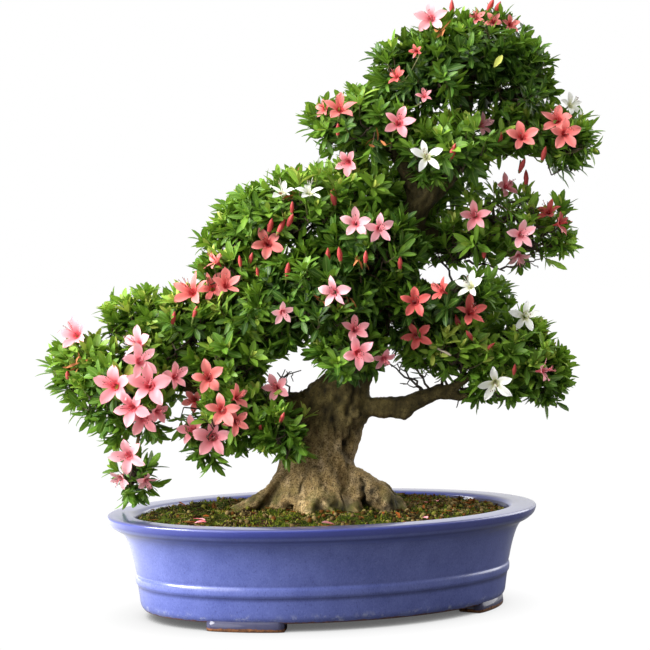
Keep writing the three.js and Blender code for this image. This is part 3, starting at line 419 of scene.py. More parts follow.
class Nodes:
    """A material's or world's nodes. The methods add a node and give the socket it puts out."""

    def __init__(self, owner):
        owner.use_nodes = True
        owner.node_tree.nodes.clear()
        self.owner = owner

    def add(self, kind, inputs=None, out=0, **props):
        """A shader node of that kind. Inputs are values, colours or sockets by name or number."""
        node = self.owner.node_tree.nodes.new("ShaderNode" + kind)
        for key, value in props.items():
            setattr(node, key, value)
        for key, value in (inputs or {}).items():
            socket = node.inputs[key]
            if isinstance(value, bpy.types.NodeSocket):
                self.owner.node_tree.links.new(value, socket)
            else:
                socket.default_value = (*value, 1) if socket.type == "RGBA" else value
        return node.outputs[out] if node.outputs else None

    def finish(self, shader):
        """The shader goes to the output. Gives the finished material or world."""
        self.add("Output" + self.owner.bl_rna.identifier, {"Surface": shader})
        return self.owner

    def place(self, kind="Object"):
        """Where a point is on the object, in metres, or its other coordinates."""
        return self.add("TexCoord", out=kind)

    def axes(self, vector):
        """The three numbers of a vector."""
        return self.add("SeparateXYZ", {0: vector}).node.outputs

    def noise(self, size_mm, detail=3.0, roughness=0.55, stretch=1):
        """Fractal noise whose features are about size_mm across, stretched along Z if asked."""
        where = self.place()
        if stretch != 1:
            where = self.add("Mapping", {0: where, "Scale": (1, 1, 1 / stretch)})
        return self.add("TexNoise", {"Vector": where, "Scale": 1 / (size_mm * MM), "Detail": detail,
                                     "Roughness": roughness})

    def ramp(self, value, stops):
        """A colour ramp of (position, colour or grey) stops."""
        made = self.add("ValToRGB", {0: value})
        elements = made.node.color_ramp.elements
        while len(elements) < len(stops):
            elements.new(0.5)
        for element, (position, colour) in zip(elements, stops):
            element.position = position
            element.color = (*np.broadcast_to(colour, 3), 1)
        return made

    def mix(self, factor, first, second):
        """Two colours or colour sockets, mixed by a factor."""
        return self.add("Mix", {0: factor, 6: first, 7: second}, out=2, data_type="RGBA")

    def layered(self, colour, *layers):
        """The colour with others laid over it, each by its mask."""
        for mask, tint in layers:
            colour = self.mix(mask, colour, tint)
        return colour

    def blend(self, share, first, second):
        """Two shaders, mixed."""
        return self.add("MixShader", {0: share, 1: first, 2: second})

    def calc(self, operation, *values, clamp=False):
        """The result of a Math node."""
        return self.add("Math", dict(enumerate(values)), operation=operation, use_clamp=clamp)

    def times(self, first, second):
        """The product."""
        return self.calc("MULTIPLY", first, second)

    def scaled(self, value, factor, offset):
        """value * factor + offset."""
        return self.calc("MULTIPLY_ADD", value, factor, offset)

    def minus(self, total, part):
        """What is left of the total, at least 0."""
        return self.calc("SUBTRACT", total, part, clamp=True)

    def from_middle(self, share):
        """How far a share is from one half."""
        return self.calc("ABSOLUTE", self.calc("SUBTRACT", share, 0.5))

    def rise(self, value, low, high):
        """0 under low, 1 over high and smooth between."""
        return self.add("MapRange", {"Value": value, "From Min": low, "From Max": high},
                        interpolation_type="SMOOTHSTEP")

    def fall(self, value, low, high):
        """1 under low, 0 over high and smooth between."""
        return self.minus(1.0, self.rise(value, low, high))

    def tone(self):
        """The tone that each point of the piece holds."""
        return self.add("Attribute", out="Fac", attribute_name="tone")

    def along(self, vector, direction):
        """How far the vector reaches in that direction."""
        return self.add("VectorMath", {0: vector, 1: tuple(direction)}, out="Value", operation="DOT_PRODUCT")

    def bump(self, height, distance_mm, strength=1.0):
        """A normal from a height."""
        return self.add("Bump", {"Height": height, "Distance": distance_mm * MM, "Strength": strength})


def material_nodes(name):
    """The nodes of a new material."""
    return Nodes(bpy.data.materials.new(name))


def glaze_material():
    """Thick blue glaze, mottled, that thins to brown clay on the lowest edges, with painted shade under the
    band and the rim, on the rim's edge, inside the pot and on its feet.
    """
    m = material_nodes("blue_glaze")
    tone, height = m.tone(), m.axes(m.place())[2]
    level = m.calc("ADD", height, m.scaled(m.noise(9, detail=4), 0.004, -0.002))
    speck = m.noise(1.3, roughness=0.75, stretch=1.6)
    blue = m.ramp(m.noise(26, detail=4, roughness=0.72), RAMPS["glaze"])
    pools_and_shade = [m.times(m.rise(height, low, 0.5 * (low + high)),
                     m.minus(0.55, m.rise(height, 0.5 * (low + high), high))) for low, high in POOLS_AND_SHADE]
    low_down = m.fall(level, *POT_MARKS["above_salt"])
    crawl = m.times(m.rise(m.noise(14, detail=5), 0.52, 0.62), low_down)
    crust = m.rise(m.noise(11, detail=6, roughness=0.75), 0.52, 0.68)
    salt = m.times(m.times(m.rise(level, *POT_MARKS["salt"]), low_down), m.times(crust, 0.6))
    glazed = m.layered(
        blue,
        (m.times(m.rise(speck, 0.5, 0.66), 0.3), GLAZE_TINTS["pale"]),
        (m.minus(0.4, m.rise(speck, 0.36, 0.46)), GLAZE_TINTS["dark"]),
        # pooled glaze and painted shade under the band and the rim
        *[(pool, GLAZE_TINTS["pool"]) for pool in pools_and_shade],
        (m.times(crawl, 0.22), GLAZE_TINTS["crawled"]),
        (salt, GLAZE_TINTS["salt"]),
        # painted shade on the rim's edge, standing in for the dark that it reflects
        (m.times(m.rise(height, *POT_MARKS["rim"]), 0.8), GLAZE_TINTS["rim"]),
        (m.times(m.rise(height, *POT_MARKS["top"]), 0.6), GLAZE_TINTS["top"]),
        # painted shade inside the pot and on its feet
        (m.times(tone, 0.9), GLAZE_TINTS["inner"]))
    lip = m.times(m.rise(level, *POT_MARKS["lip"]), m.fall(level, *POT_MARKS["above_lip"]))
    bare = m.calc("MAXIMUM", m.fall(m.scaled(tone, -0.0020, level), *POT_MARKS["bare"]),
                  m.times(lip, m.minus(0.85, tone)))
    rough = m.add("MapRange", {0: bare, 3: 0.3, 4: 0.8})
    return m.finish(m.add("BsdfPrincipled", {
        "Base Color": m.mix(bare, glazed, m.ramp(m.noise(3), RAMPS["clay"])),
        "Roughness": m.calc("MULTIPLY_ADD", tone, 0.5, rough, clamp=True),
        "Coat Weight": 0.5, "Coat Roughness": 0.07,
        "Normal": m.bump(m.scaled(speck, 0.08, m.noise(22, detail=2)), 0.5, 0.35)}))


def bark_material():
    """Bark: tan and speckled on the flare, dark and greenish higher up, partly as painted shade of the
    foliage, with painted shade black in its hollows, creases and crevices, mossy low.
    """
    m = material_nodes("azalea_bark")
    streak = m.noise(9, detail=5, roughness=0.6, stretch=2.2)
    fleck = m.noise(1.7, detail=4, roughness=0.8)
    patch = m.noise(24)
    height = m.axes(m.place())[2]
    wood = m.mix(m.rise(fleck, 0.49, 0.57), m.ramp(streak, RAMPS["wood"]), BARK_TINTS["fleck"])
    old = m.mix(m.rise(fleck, 0.50, 0.66), m.ramp(streak, RAMPS["old_wood_and_shade"]), BARK_TINTS["old_fleck"])
    mossy = m.times(m.fall(height, *BARK_LEVELS["moss_end"]), m.rise(patch, 0.42, 0.54))
    colour = m.layered(
        wood,
        # older, darker bark higher up, partly painted shade of the foliage
        (m.rise(m.scaled(patch, 0.06, height), *BARK_LEVELS["old"]), old),
        (m.times(mossy, 0.8), m.ramp(fleck, RAMPS["bark_moss"])),
        # painted shade on the limbs in the foliage
        (m.times(m.rise(height, *BARK_LEVELS["limbs"]), 0.62), BARK_TINTS["limb"]),
        # painted shade in crevices, hollows and creases, and darker patches, by the tone
        (m.tone(), BARK_TINTS["crevice_shade"]))
    return m.finish(m.add("BsdfPrincipled", {
        "Base Color": colour, "Roughness": 0.85, "Specular IOR Level": 0.25,
        "Normal": m.bump(m.scaled(fleck, 0.5, streak), 3.0)}))


def leaf_material():
    """Glossy leaves: dark when old, yellow-green when young, paler along the midrib; their tone also holds
    painted light and shade.
    """
    m = material_nodes("azalea_leaf")
    green = m.ramp(m.scaled(m.noise(30), 0.16, m.tone()), RAMPS["leaf"])
    rib = m.fall(m.from_middle(m.axes(m.place("UV"))[0]), 0.02, 0.09)
    colour = m.mix(m.times(rib, 0.4), green, (0.30, 0.40, 0.10))
    gloss = m.add("BsdfPrincipled", {"Base Color": colour, "Roughness": 0.45, "Specular IOR Level": 0.27,
                                     "Normal": m.bump(m.noise(3), 0.3, 0.4)})
    through = m.add("BsdfTranslucent", {"Color": m.mix(0.5, colour, (0.24, 0.40, 0.025))})
    return m.finish(m.blend(0.22, gloss, through))


def stem_material():
    """Thin twigs: brown-grey, and green near the leaves."""
    m = material_nodes("azalea_twig")
    colour = m.ramp(m.scaled(m.noise(6), 0.2, m.tone()), RAMPS["twig"])
    return m.finish(m.add("BsdfPrincipled", {"Base Color": colour, "Roughness": 0.7}))


def petal_material(name, edge, middle, throat):
    """A soft petal, deeper in the throat and along its midline, with faint veins that fan out."""
    m = material_nodes(name)
    place = m.place("UV")
    across, outward, _ = m.axes(place)
    fanned = m.add("Mapping", {0: place, "Scale": (24, 2.2, 1)})
    veins = m.add("TexNoise", {"Vector": fanned, "Scale": 1.0, "Detail": 2.0})
    paler = m.scaled(m.rise(m.from_middle(across), 0.08, 0.5), 0.28, -0.28)
    shade = m.calc("ADD", m.scaled(m.noise(12), 0.24, paler), outward)
    body = m.ramp(shade, [(0.06, throat), (0.34, middle), (0.95, edge)])
    colour = m.layered(body, (m.times(m.rise(veins, 0.5, 0.66), 0.2), middle), (m.tone(), throat))
    soft = m.add("BsdfPrincipled", {"Base Color": colour, "Roughness": 0.5, "Sheen Weight": 0.15,
                                    "Normal": m.bump(veins, 0.25, 0.4)})
    return m.finish(m.blend(0.3, soft, m.add("BsdfTranslucent", {"Color": colour})))


def soil_material():
    """Moist dark soil with cushions of moss: green, yellow-green and rust-brown, with painted shade in the
    creases between the cushions.
    """
    m = material_nodes("mossy_soil")
    grain = m.noise(2.0, detail=4, roughness=0.75)
    colour = m.layered(m.ramp(grain, RAMPS["earth"]),
                       (m.rise(m.noise(19), 0.40, 0.50), m.ramp(grain, RAMPS["moss"])),
                       # painted shade in the creases between the cushions
                       (m.tone(), (0.004, 0.003, 0.001)))
    return m.finish(m.add("BsdfPrincipled", {
        "Base Color": colour, "Roughness": 0.95, "Specular IOR Level": 0.08, "Normal": m.bump(grain, 2.2)}))


def grit_material():
    """Pellets, moss tips and litter, each coloured by its tone from green over tan to rust."""
    m = material_nodes("soil_grit")
    colour = m.mix(0.35, m.ramp(m.tone(), RAMPS["litter"]), m.ramp(m.noise(1.2), RAMPS["crumb"]))
    return m.finish(m.add("BsdfPrincipled", {"Base Color": colour, "Roughness": 0.95,
                                             "Specular IOR Level": 0.08}))


def plain_material(name, colour, roughness, grain_mm):
    """A plain material with a fine grain in its colour and relief."""
    m = material_nodes(name)
    grain = m.noise(grain_mm)
    grained = m.ramp(grain, [(0.3, [0.7 * value for value in colour]), (0.7, colour)])
    return m.finish(m.add("BsdfPrincipled", {"Base Color": grained, "Roughness": roughness,
                                             "Normal": m.bump(grain, 0.1, 0.3)}))


# ---------------------------------------------------------------- pot


def on_pot(inset, angle, z=0.0, share=1.0):
    """Points at an inset from the rim's edge, or at a share of the way out to there."""
    x = share * (POT["half_length"] - inset) * np.cos(angle)
    y = share * (POT["half_width"] - inset) * np.sin(angle)
    return np.stack(np.broadcast_arrays(x, y, z), -1)


def ring(inset, z, segments=POT["segments"]):
    """A ring of points round the pot at that inset and height."""
    return on_pot(inset, 2 * np.pi * np.arange(segments) / segments, z)


def rounded_section(section):
    """The section's points, with each corner turned into a short curve."""
    corners = np.array([point[:2] for point in section], float)
    line = [corners[0]]
    for before, corner, after, (_, _, radius) in zip(corners, corners[1:], corners[2:], section[1:-1]):
        start, end = (corner + min(radius, 0.48 * np.linalg.norm(other - corner)) * unit(other - corner)
                      for other in (before, after))
        line.extend(bend(start, corner, end, CORNER_STEPS))
    return np.array([*line, corners[-1]])


def floor_half(side, low, high, line_points=24):
    """One end of the pot's floor, as rings from its top face through its drain hole to its underside."""
    rings = []
    for inset, z in (high, low):
        half = np.roll(ring(inset, z), side * POT["segments"] // 4, axis=0)[:POT["segments"] // 2 + 1]
        outline = np.concatenate([half, np.linspace(half[-1], half[0], line_points + 2)[1:-1]])
        centre = np.array([side * DRAIN["x"], 0, z])
        rings.append((outline, centre + DRAIN["radius"] * unit(outline - centre)))
    (top, top_hole), (under, under_hole) = rings
    return np.array([top, top_hole, under_hole, under])


def foot_rings(bearing, steps=14):
    """A low foot under the pot's edge, as rings of a rounded section along the oval."""
    outer, inner, top = FOOT["inset"], FOOT["inset"] + FOOT["width"], FOOT["top"]
    section = rounded_section([(outer + 1.0, top, 0), (outer, 3, 1.5), (outer + 0.8, 0, 1.2),
                               (inner, 0, 1.2), (inner + 2, 3, 1.5), (inner + 2, top, 0)])
    middle = section.mean(axis=0)
    size = np.r_[0.93, np.ones(steps - 2), 0.93]
    rings = []
    for share, scale in zip(np.linspace(-0.5, 0.5, steps), size):
        inset, z = (middle + scale * (section - middle)).T
        rings.append(on_pot(inset, math.radians(bearing + FOOT["sweep"] * share), np.maximum(z, 0)))
    caps = [np.tile(end.mean(axis=0), (len(end), 1)) for end in (rings[0], rings[-1])]
    return np.array([caps[0], *rings, caps[1]])


def make_pot(glaze):
    """The glazed pot: a lathed oval body with its raised band, and four low feet."""
    pot = Collector(in_tree_axes=False)
    section = rounded_section(POT_SECTION)
    inside = np.arange(len(section)) > POT_INSIDE * CORNER_STEPS - 1
    # the inner wall's tone paints shade inside the pot and roughens it
    pot.add_grid(np.array([ring(inset, z) for inset, z in section]),
                 tone=INNER_SHADE * np.repeat(inside, POT["segments"]))
    for side in (-1, 1):
        pot.add_grid(floor_half(side, section[0], section[-1]), tone=INNER_SHADE)
    for bearing in FOOT_BEARINGS:
        # the feet's tone paints them darker as shade under the pot, bares their lowest clay and roughens them
        pot.add_grid(foot_rings(bearing), tone=1.0)
    return pot.piece("pot_glazed", [glaze], "glazed_stoneware", "pot")


# ---------------------------------------------------------------- soil and what lies on it


def soil_height(x, y):
    """The height of the soil's surface in the frame's axes, in mm."""
    share = np.hypot(x / (POT["half_length"] - SOIL["inset"]), y / (POT["half_width"] - SOIL["inset"]))
    rise = SOIL["mound"] * np.maximum(1 - share, 0) ** 0.8 - SOIL["tilt"] * share * x / POT["half_length"]
    return SOIL["edge"] + rise + (cushion(x, y) - 2.2) * np.clip((1.0 - share) * 12, 0.3, 1)


def cushion(x, y):
    """The swell of the moss's round cushions, from 0 in the creases between them, in mm."""
    swell = [abs(noise.noise((px / 21, py / 21, 3.1))) * 9 + abs(noise.noise((px / 8, py / 8, 7.7))) * 3.2
             + noise.noise((px / 3, py / 3, 1.3)) * 0.8 for px, py in zip(x, y)]
    return np.clip(swell, 0, 6)


def scattered(rng, count, reach=0.985, lift=0.0):
    """Random places on the soil, lifted a little above it."""
    out = np.sqrt(rng.uniform(0, 1, count)) * reach
    places = on_pot(SOIL["inset"], rng.uniform(0, 2 * np.pi, count), share=out)
    places[:, 2] = soil_height(*places.T[:2]) + lift
    return places


def make_soil(rng, soil, grit, around=220, out=70):
    """The soil's uneven surface with moss tips on it, closed down to the pot's floor."""
    bed = Collector(in_tree_axes=False)
    surface = on_pot(SOIL["inset"], 2 * np.pi * np.arange(around) / around,
                     share=np.linspace(0, 1, out)[:, None])
    x, y = surface[..., 0].ravel(), surface[..., 1].ravel()
    surface[..., 2] = soil_height(x, y).reshape(out, around)
    surface[0, :, 2] = surface[0, :, 2].mean()
    # painted shade in the creases between the moss cushions
    crease_shade = np.clip(0.75 - 0.5 * cushion(x, y), 0, 0.85)
    body = [ring(inset, z, around) for inset, z in SOIL_BODY]
    body.append(np.tile((0, 0, SOIL_BODY[-1][1]), (around, 1)))
    bed.add_grid(np.concatenate([surface, body]), flipped=True,
                 tone=np.concatenate([crease_shade, np.zeros(around * len(body))]))

    tips = scattered(rng, 5600)
    lean = unit(rng.normal(0, 0.45, tips.shape) + (0, 0, 1))
    height = rng.uniform(1.2, 3.4, len(tips))[:, None]
    paths = tips[:, None] + lean[:, None] * (height * [-0.3, 0.5, 1.0])[..., None]
    radii = rng.uniform(0.5, 1.1, len(tips))[:, None] * [1.0, 0.8, 0.15]
    lush = np.array([noise.noise((px / 22, py / 22, 5.5)) for px, py, _ in tips])
    green = np.clip(0.27 + 0.75 * lush + rng.normal(0, 0.12, len(tips)), 0, 0.7)
    bed.add_tubes(paths, radii, 3, tone=green[:, None], slot=1)
    return bed.piece("soil_and_moss", [soil, grit], "mossy_soil", "soil")


def make_litter(rng, soil, grit, petal):
    """Pellets, straws, dead leaves and fallen petals on the soil."""
    bed = Collector(in_tree_axes=False)
    pellets = scattered(rng, 1900)
    pellets = pellets[rng.uniform(-200, 220, len(pellets)) < pellets[:, 0]]  # most lie on the right
    sizes = rng.uniform(0.9, 2.5, len(pellets)) ** 1.15
    latitude = np.array([-0.999, -0.6, 0.05, 0.7, 0.999])
    paths = pellets[:, None] + sizes[:, None, None] * np.outer(latitude, (0, 0, 1)) + (0, 0, 0.8)
    points, quads = tubes(paths, sizes[:, None] * np.sqrt(1 - latitude ** 2), 5)
    points += rng.normal(0, 0.12, points.shape)
    tone = rng.choice([0.5, 0.6, 0.66, 0.74, 0.8, 0.85], len(pellets))
    bed.add(points, quads, tone=tone[:, None], slot=1)

    straws = scattered(rng, 420)
    count = len(straws)
    heading = rng.uniform(0, 2 * np.pi, count)
    reach = rng.uniform(4, 13, count)
    lie = lying(heading, rng.uniform(-0.05, 0.25, count))
    paths = straws[:, None] + lie[:, None] * (reach[:, None] * [-0.5, 0, 0.5])[..., None] + (0, 0, 1.6)
    paths[:, 1, :2] += rng.normal(0, 0.8, (count, 2))
    bed.add_tubes(paths, rng.uniform(0.25, 0.6, count)[:, None] * [1, 1, 0.6], 3,
                  tone=rng.choice([0.6, 0.75, 0.85, 0.95], count)[:, None], slot=1)

    litter = scattered(rng, 170, 0.96, lift=1.8)
    count = len(litter)
    along = lying(rng.uniform(0, 2 * np.pi, count), rng.uniform(-0.1, 0.4, count))
    face = unit(rng.normal(0, 0.35, along.shape) + (0, 0, 1))
    bed.add_leaves(litter, along, face, rng.uniform(4, 11, count), rng.uniform(1.6, 4.4, count),
                   rng.uniform(-0.3, 0.6, count), tone=rng.choice([0.7, 0.8, 0.9, 1.0], count)[:, None],
                   slot=1)

    fallen = np.array(FALLEN, float)
    count = len(fallen)
    fallen = np.column_stack([fallen, soil_height(*fallen.T) + 2.2])
    along = lying(rng.uniform(0, 2 * np.pi, count), 0.15)
    face = unit(rng.normal(0, 0.3, along.shape) + (0, 0, 1))
    bed.add_leaves(fallen, along, face, rng.uniform(11, 17, count), rng.uniform(5, 7, count),
                   rng.uniform(0.2, 0.7, count), tone=0.1, slot=2)
    return bed.piece("soil_litter", [soil, grit, petal], "mossy_soil")


# ---------------------------------------------------------------- tree

# Hollows in the trunk and the burl, on its front, with painted shade in them: x, z, radius, depth.
HOLLOWS = [(26, 168, 5, 7), (27, 199, 4, 5), (22, 114, 10, 3), (35, 183, 4, 3), (-4, 110, 4, 3)]
BURLS = [(-22, 163, 12, 8), (-8, 148, 8, 3), (38, 196, 10, 3), (6, 222, 9, 3)]
# Darker patches on the bark low on its front: x, z, radius and how dark.
DARK_PATCHES = [(58, 112, 30, 0.7), (14, 106, 16, 0.4), (-62, 106, 26, 0.4), (2, 106, 12, 0.3)]
# Cracks and creases on its front, with painted shade in them: their width and depth, then x, z along them.
CREASES = [
    (3.0, 4, [(36, 226), (29, 206), (32, 186), (25, 168), (29, 152)]),
    (3.2, 3, [(24, 146), (21, 124), (20, 98)]),
    (2.6, 3.5, [(-14, 150), (-17, 134), (-26, 118), (-30, 100)]),
    (2.6, 3.5, [(-34, 140), (-44, 126), (-58, 108), (-70, 98)]),
    (2.6, 5, [(40, 136), (42, 118), (46, 100)]),
    (2.0, 3, [(4, 226), (0, 200), (-6, 184), (-2, 168)]),
    (1.8, 3, [(16, 216), (12, 196), (16, 176), (10, 158)]),
    (2.0, 3, [(-24, 196), (-18, 178), (-24, 160)]),
]
# Ridges that run down the flare into the roots, as x, y, z, radius from top to soil.
RIDGES = [
    [(-13, -24, 176, 6), (-9, -34, 142, 8), (1, -47, 117, 8), (12, -64, 97, 5)],
    [(14, -24, 168, 6), (26, -34, 142, 9), (44, -38, 127, 12), (60, -38, 115, 13), (66, -38, 100, 11)],
    [(0, -26, 176, 5), (8, -38, 140, 6), (22, -52, 112, 6), (26, -60, 97, 4)],
    [(-26, -16, 164, 6), (-40, -22, 133, 8), (-62, -30, 113, 6), (-82, -36, 99, 4)],
    [(-20, -24, 152, 5), (-31, -34, 125, 7), (-42, -52, 99, 4)],
    [(-17, -30, 148, 4), (-22, -42, 121, 6), (-28, -60, 98, 4)],
    [(18, -26, 150, 4), (28, -40, 122, 6), (38, -56, 98, 4)],
    [(-14, 26, 170, 6), (-22, 40, 128, 8), (-32, 60, 102, 5)],
    [(6, 26, 176, 6), (8, 38, 130, 8), (6, 60, 106, 6), (2, 74, 96, 4)],
    [(20, 20, 168, 5), (28, 32, 128, 8), (44, 50, 102, 5)],
    [(30, -4, 206, 10), (52, -6, 204, 11), (78, -7, 203, 11), (100, -8, 211, 8.5), (124, -8, 222, 7)],
    [(74, -10, 197, 4), (84, -12, 195, 5), (92, -10, 201, 4)],
]
# The trunk's height, with its middle line and its half thickness there, all the way up.
TRUNK_LINE = ([82, 139, 181, 213, 242, 322, 402, 480, 566], [4, -4, 5, 13, 33, 60, 97, 145, 150])
TRUNK_HALF = ([82, 139, 213, 242, 322, 402, 480, 566], [80, 46, 40, 28, 21, 18, 11, 4])
TRUNK_TOP = 566
BARK_VOXEL = 2.3
# The bark's relief in mm: broad swells and cuts between strands on the trunk, and knots all over.
RELIEF = {"broad": 3.4, "cut": 1.0, "knots": 0.7, "trunk_knots": 0.6}
# How dark the painted shade is in cuts, in the hollows between knots and in broad hollows, and on the limbs
# in the foliage.
PAINTED_SHADE = {"cut": 0.30, "knots": 0.55, "broad": 0.8, "limb": 0.4}
CUT_WIDTH = 0.30  # of the noise that the strands come from


def fused(cad_mesh, voxel_mm, name):
    """The mesh together with the ridges of its flare, as one skin of even small faces."""
    ridges = Collector()
    for path in RIDGES:
        path = np.array(path, float)
        share = np.linspace(0, 1, 3 * len(path))
        points = np.stack([np.interp(share, np.linspace(0, 1, len(path)), column) for column in path.T], -1)
        closed = np.concatenate([points[:1], points, points[-1:]])
        ends = closed[:, :3] + np.outer(np.r_[1, np.zeros(len(points)), -1], (0, 0, 1.0))
        ridges.add_tubes(ends, np.r_[0.1, points[:, 3], 0.1], 10)
    extra = ridges.mesh("ridges")
    whole = bmesh.new()
    whole.from_mesh(cad_mesh)
    whole.from_mesh(extra)
    both = bpy.data.meshes.new(name)
    whole.to_mesh(both)
    whole.free()
    bpy.data.meshes.remove(extra)
    piece = bpy.data.objects.new(name, both)
    bpy.context.scene.collection.objects.link(piece)
    remesh = piece.modifiers.new("fuse", "REMESH")
    remesh.mode = "VOXEL"
    remesh.voxel_size = voxel_mm * MM
    smooth = piece.modifiers.new("soften", "SMOOTH")
    smooth.iterations = 5
    graph = bpy.context.evaluated_depsgraph_get()
    mesh = bpy.data.meshes.new_from_object(piece.evaluated_get(graph))
    bpy.data.objects.remove(piece)
    bpy.data.meshes.remove(both)
    mesh.name = name
    return mesh

def bark_relief(points):
    """How far the bark stands out at each point, in mm, and how dark the shade painted in its crevices and on
    its limbs is there.
    """
    x, y, z = points.T
    off_line = np.hypot(x - np.interp(z, *TRUNK_LINE), y)
    on_trunk = np.clip(1.8 - off_line / (np.interp(z, *TRUNK_HALF) + 6), 0, 1) * (z < TRUNK_TOP)
    relief, crevice_shade = np.zeros((2, len(points)))
    for i, (px, py, pz) in enumerate(points):
        warp = 3 * noise.noise((px / 18, py / 18, pz / 25))
        broad = noise.fractal((px / 20, py / 20, pz / 48 + 5), 1.0, 2.0, 3)
        strand = noise.noise(((px + warp) / 6.5, (py + warp) / 6.5, pz / 30 + 9))
        knots = noise.fractal((px / 6, py / 6, pz / 8), 1.0, 2.0, 3)
        cut = max(0.0, CUT_WIDTH - abs(strand)) / CUT_WIDTH
        relief[i] = (on_trunk[i] * (RELIEF["broad"] * broad - RELIEF["cut"] * cut)
                     + (RELIEF["knots"] + RELIEF["trunk_knots"] * on_trunk[i]) * knots)
        # painted shade in the cuts, the hollows between knots and broad hollows
        crevice_shade[i] = (on_trunk[i] * cut ** 2 * PAINTED_SHADE["cut"] + max(0.0, -knots) * PAINTED_SHADE["knots"]
                      + max(0.0, -0.35 - broad) * PAINTED_SHADE["broad"])
    # painted shade on the limbs within the foliage
    limb = np.clip(1 - 1.6 * on_trunk, 0, 1) * (z > 180) * PAINTED_SHADE["limb"]
    return relief, crevice_shade + limb


def from_line(x, z, line):
    """How far each point is from a line of (x, z) points, seen from the front."""
    points = np.stack([x, z], -1)
    nearest = np.full(len(x), np.inf)
    for start, end in zip(np.array(line[:-1], float), np.array(line[1:], float)):
        span = end - start
        share = np.clip((points - start) @ span / (span @ span), 0, 1)
        nearest = np.minimum(nearest, np.linalg.norm(points - start - share[:, None] * span, axis=-1))
    return nearest

def spot(off_x, off_z, sharpness=1.0):
    """1 at no offset, and softly down to 0 away from there."""
    return np.exp(-(off_x ** 2 + off_z ** 2) * sharpness)


def make_tree(cad_tree, bark):
    """The trunk, limbs and roots: the CAD form, fused smooth, with ridges, burls and hollows, and painted
    shade in its hollows, creases and crevices.
    """
    mesh = fused(cad_tree.data, BARK_VOXEL, "tree_bark")
    points = tree_axes(vertex_values(mesh, "co"))
    normals = turned(vertex_values(mesh, "normal"), -TREE_TURN)
    relief, dark = bark_relief(points)
    x, y, z = points.T
    front = y < 0
    for hx, hz, radius, depth in HOLLOWS:
        near = spot((x - hx) / radius, (z - hz) / (1.3 * radius), 1.5) * front
        relief -= depth * near
        # painted shade in the hollow
        dark = np.maximum(dark, np.clip(near * 1.7 - 0.45, 0, 1) * min(1, depth / 6))
    sway = np.array([noise.noise((a / 7, b / 9, 2.2)) for a, b in zip(x, z)])
    for width, depth, line in CREASES:
        near = spot(from_line(x + 5 * sway, z, line) / width, 0) * front
        relief -= depth * near
        # painted shade in the crease
        dark = np.maximum(dark, min(0.8, 0.16 * depth) * near ** 2)
    for sx, sz, radius, depth in DARK_PATCHES:
        near = spot((x - sx) / radius, (z - sz) / radius) * front
        dark = dark + depth * near * np.clip(0.6 + 1.2 * sway, 0, 1)
    for bx, bz, radius, height in BURLS:
        near = spot((x - bx) / radius, (z - bz) / radius, 1.4) * front
        for i in np.flatnonzero(near > 0.03):
            rough = noise.fractal((x[i] / 4, z[i] / 4, 1.7), 1.0, 2.0, 3)
            relief[i] += near[i] * (height + 3.5 * rough)
            dark[i] = max(dark[i], min(0.85, near[i] * (0.35 + 1.5 * rough)))
    mesh.vertices.foreach_set("co", row(points + normals * relief[:, None]).ravel())
    # the tone holds the painted shade, the darker patches and the burls' dark
    set_tone(mesh, np.clip(dark, 0, 1))
    mesh.update()
    mesh.shade_smooth()
    mesh.materials.clear()
    return placed(mesh, [bark], "bark", "tree")


# ---------------------------------------------------------------- leaves

LEAF_ALONG = np.array([0.0, 0.22, 0.58, 0.85, 1.0])
LEAF_HALF = np.array([0.10, 0.62, 1.0, 0.66, 0.06])


def leaf_blades(base, along, face, length, width, curl):
    """Leaf blades (copies, points, 3), their quads and UVs: folded a little along the midrib."""
    along = unit(along)
    side = unit(np.cross(along, face))
    face = np.cross(side, along)
    s = np.array([-1.0, 0.0, 1.0])
    reach = LEAF_ALONG[:, None] * np.ones(3)
    half = LEAF_HALF[:, None] * s
    fold = LEAF_HALF[:, None] * np.abs(s) * 0.3
    length, width, curl = (np.asarray(value, float)[:, None, None] for value in (length, width, curl))
    lift = 0.5 * width * fold - curl * length * reach ** 2 * 0.5
    blade = (base[:, None, None] + along[:, None, None] * (length * reach)[..., None]
             + side[:, None, None] * (0.5 * width * half)[..., None]
             + face[:, None, None] * lift[..., None])
    uv = np.stack([np.broadcast_to(0.5 + 0.5 * s, reach.shape), reach], -1).reshape(-1, 2)
    return blade.reshape(len(blade), reach.size, 3), grid_quads(len(LEAF_ALONG), 3), uv

def lump_depths(points, lumps):
    """How deep points (n, 3) are in each of the lumps (m, 6): under 1 is inside. Gives (n, m)."""
    offset = (points[:, None] - lumps[None, :, :3]) / lumps[None, :, 3:]
    return np.linalg.norm(offset, axis=-1)


def spread_on(lump, rng, spacing, depth_low, depth_high):
    """Places and outward directions, spread evenly over an uneven shell of a lump."""
    centre, half = np.array(lump[:3], float), np.array(lump[3:], float)
    count = max(4, int(4 * np.pi * half.mean() ** 2 / spacing ** 2))
    i = np.arange(count) + 0.5
    height = 1 - 2 * i / count
    turn = np.pi * (3 - math.sqrt(5)) * i + centre[0]
    ring = np.sqrt(1 - height ** 2)
    sphere = np.stack([ring * np.cos(turn), ring * np.sin(turn), height], -1)
    sphere = unit(sphere + rng.normal(0, 0.35 * spacing / half.mean(), sphere.shape))
    depth = rng.uniform(depth_low, depth_high, count)
    place = centre + half * sphere
    depth += BULGE["height"] * np.array([noise.noise(point / BULGE["size"]) for point in place])
    return centre + half * sphere * depth[:, None], unit(sphere / half)


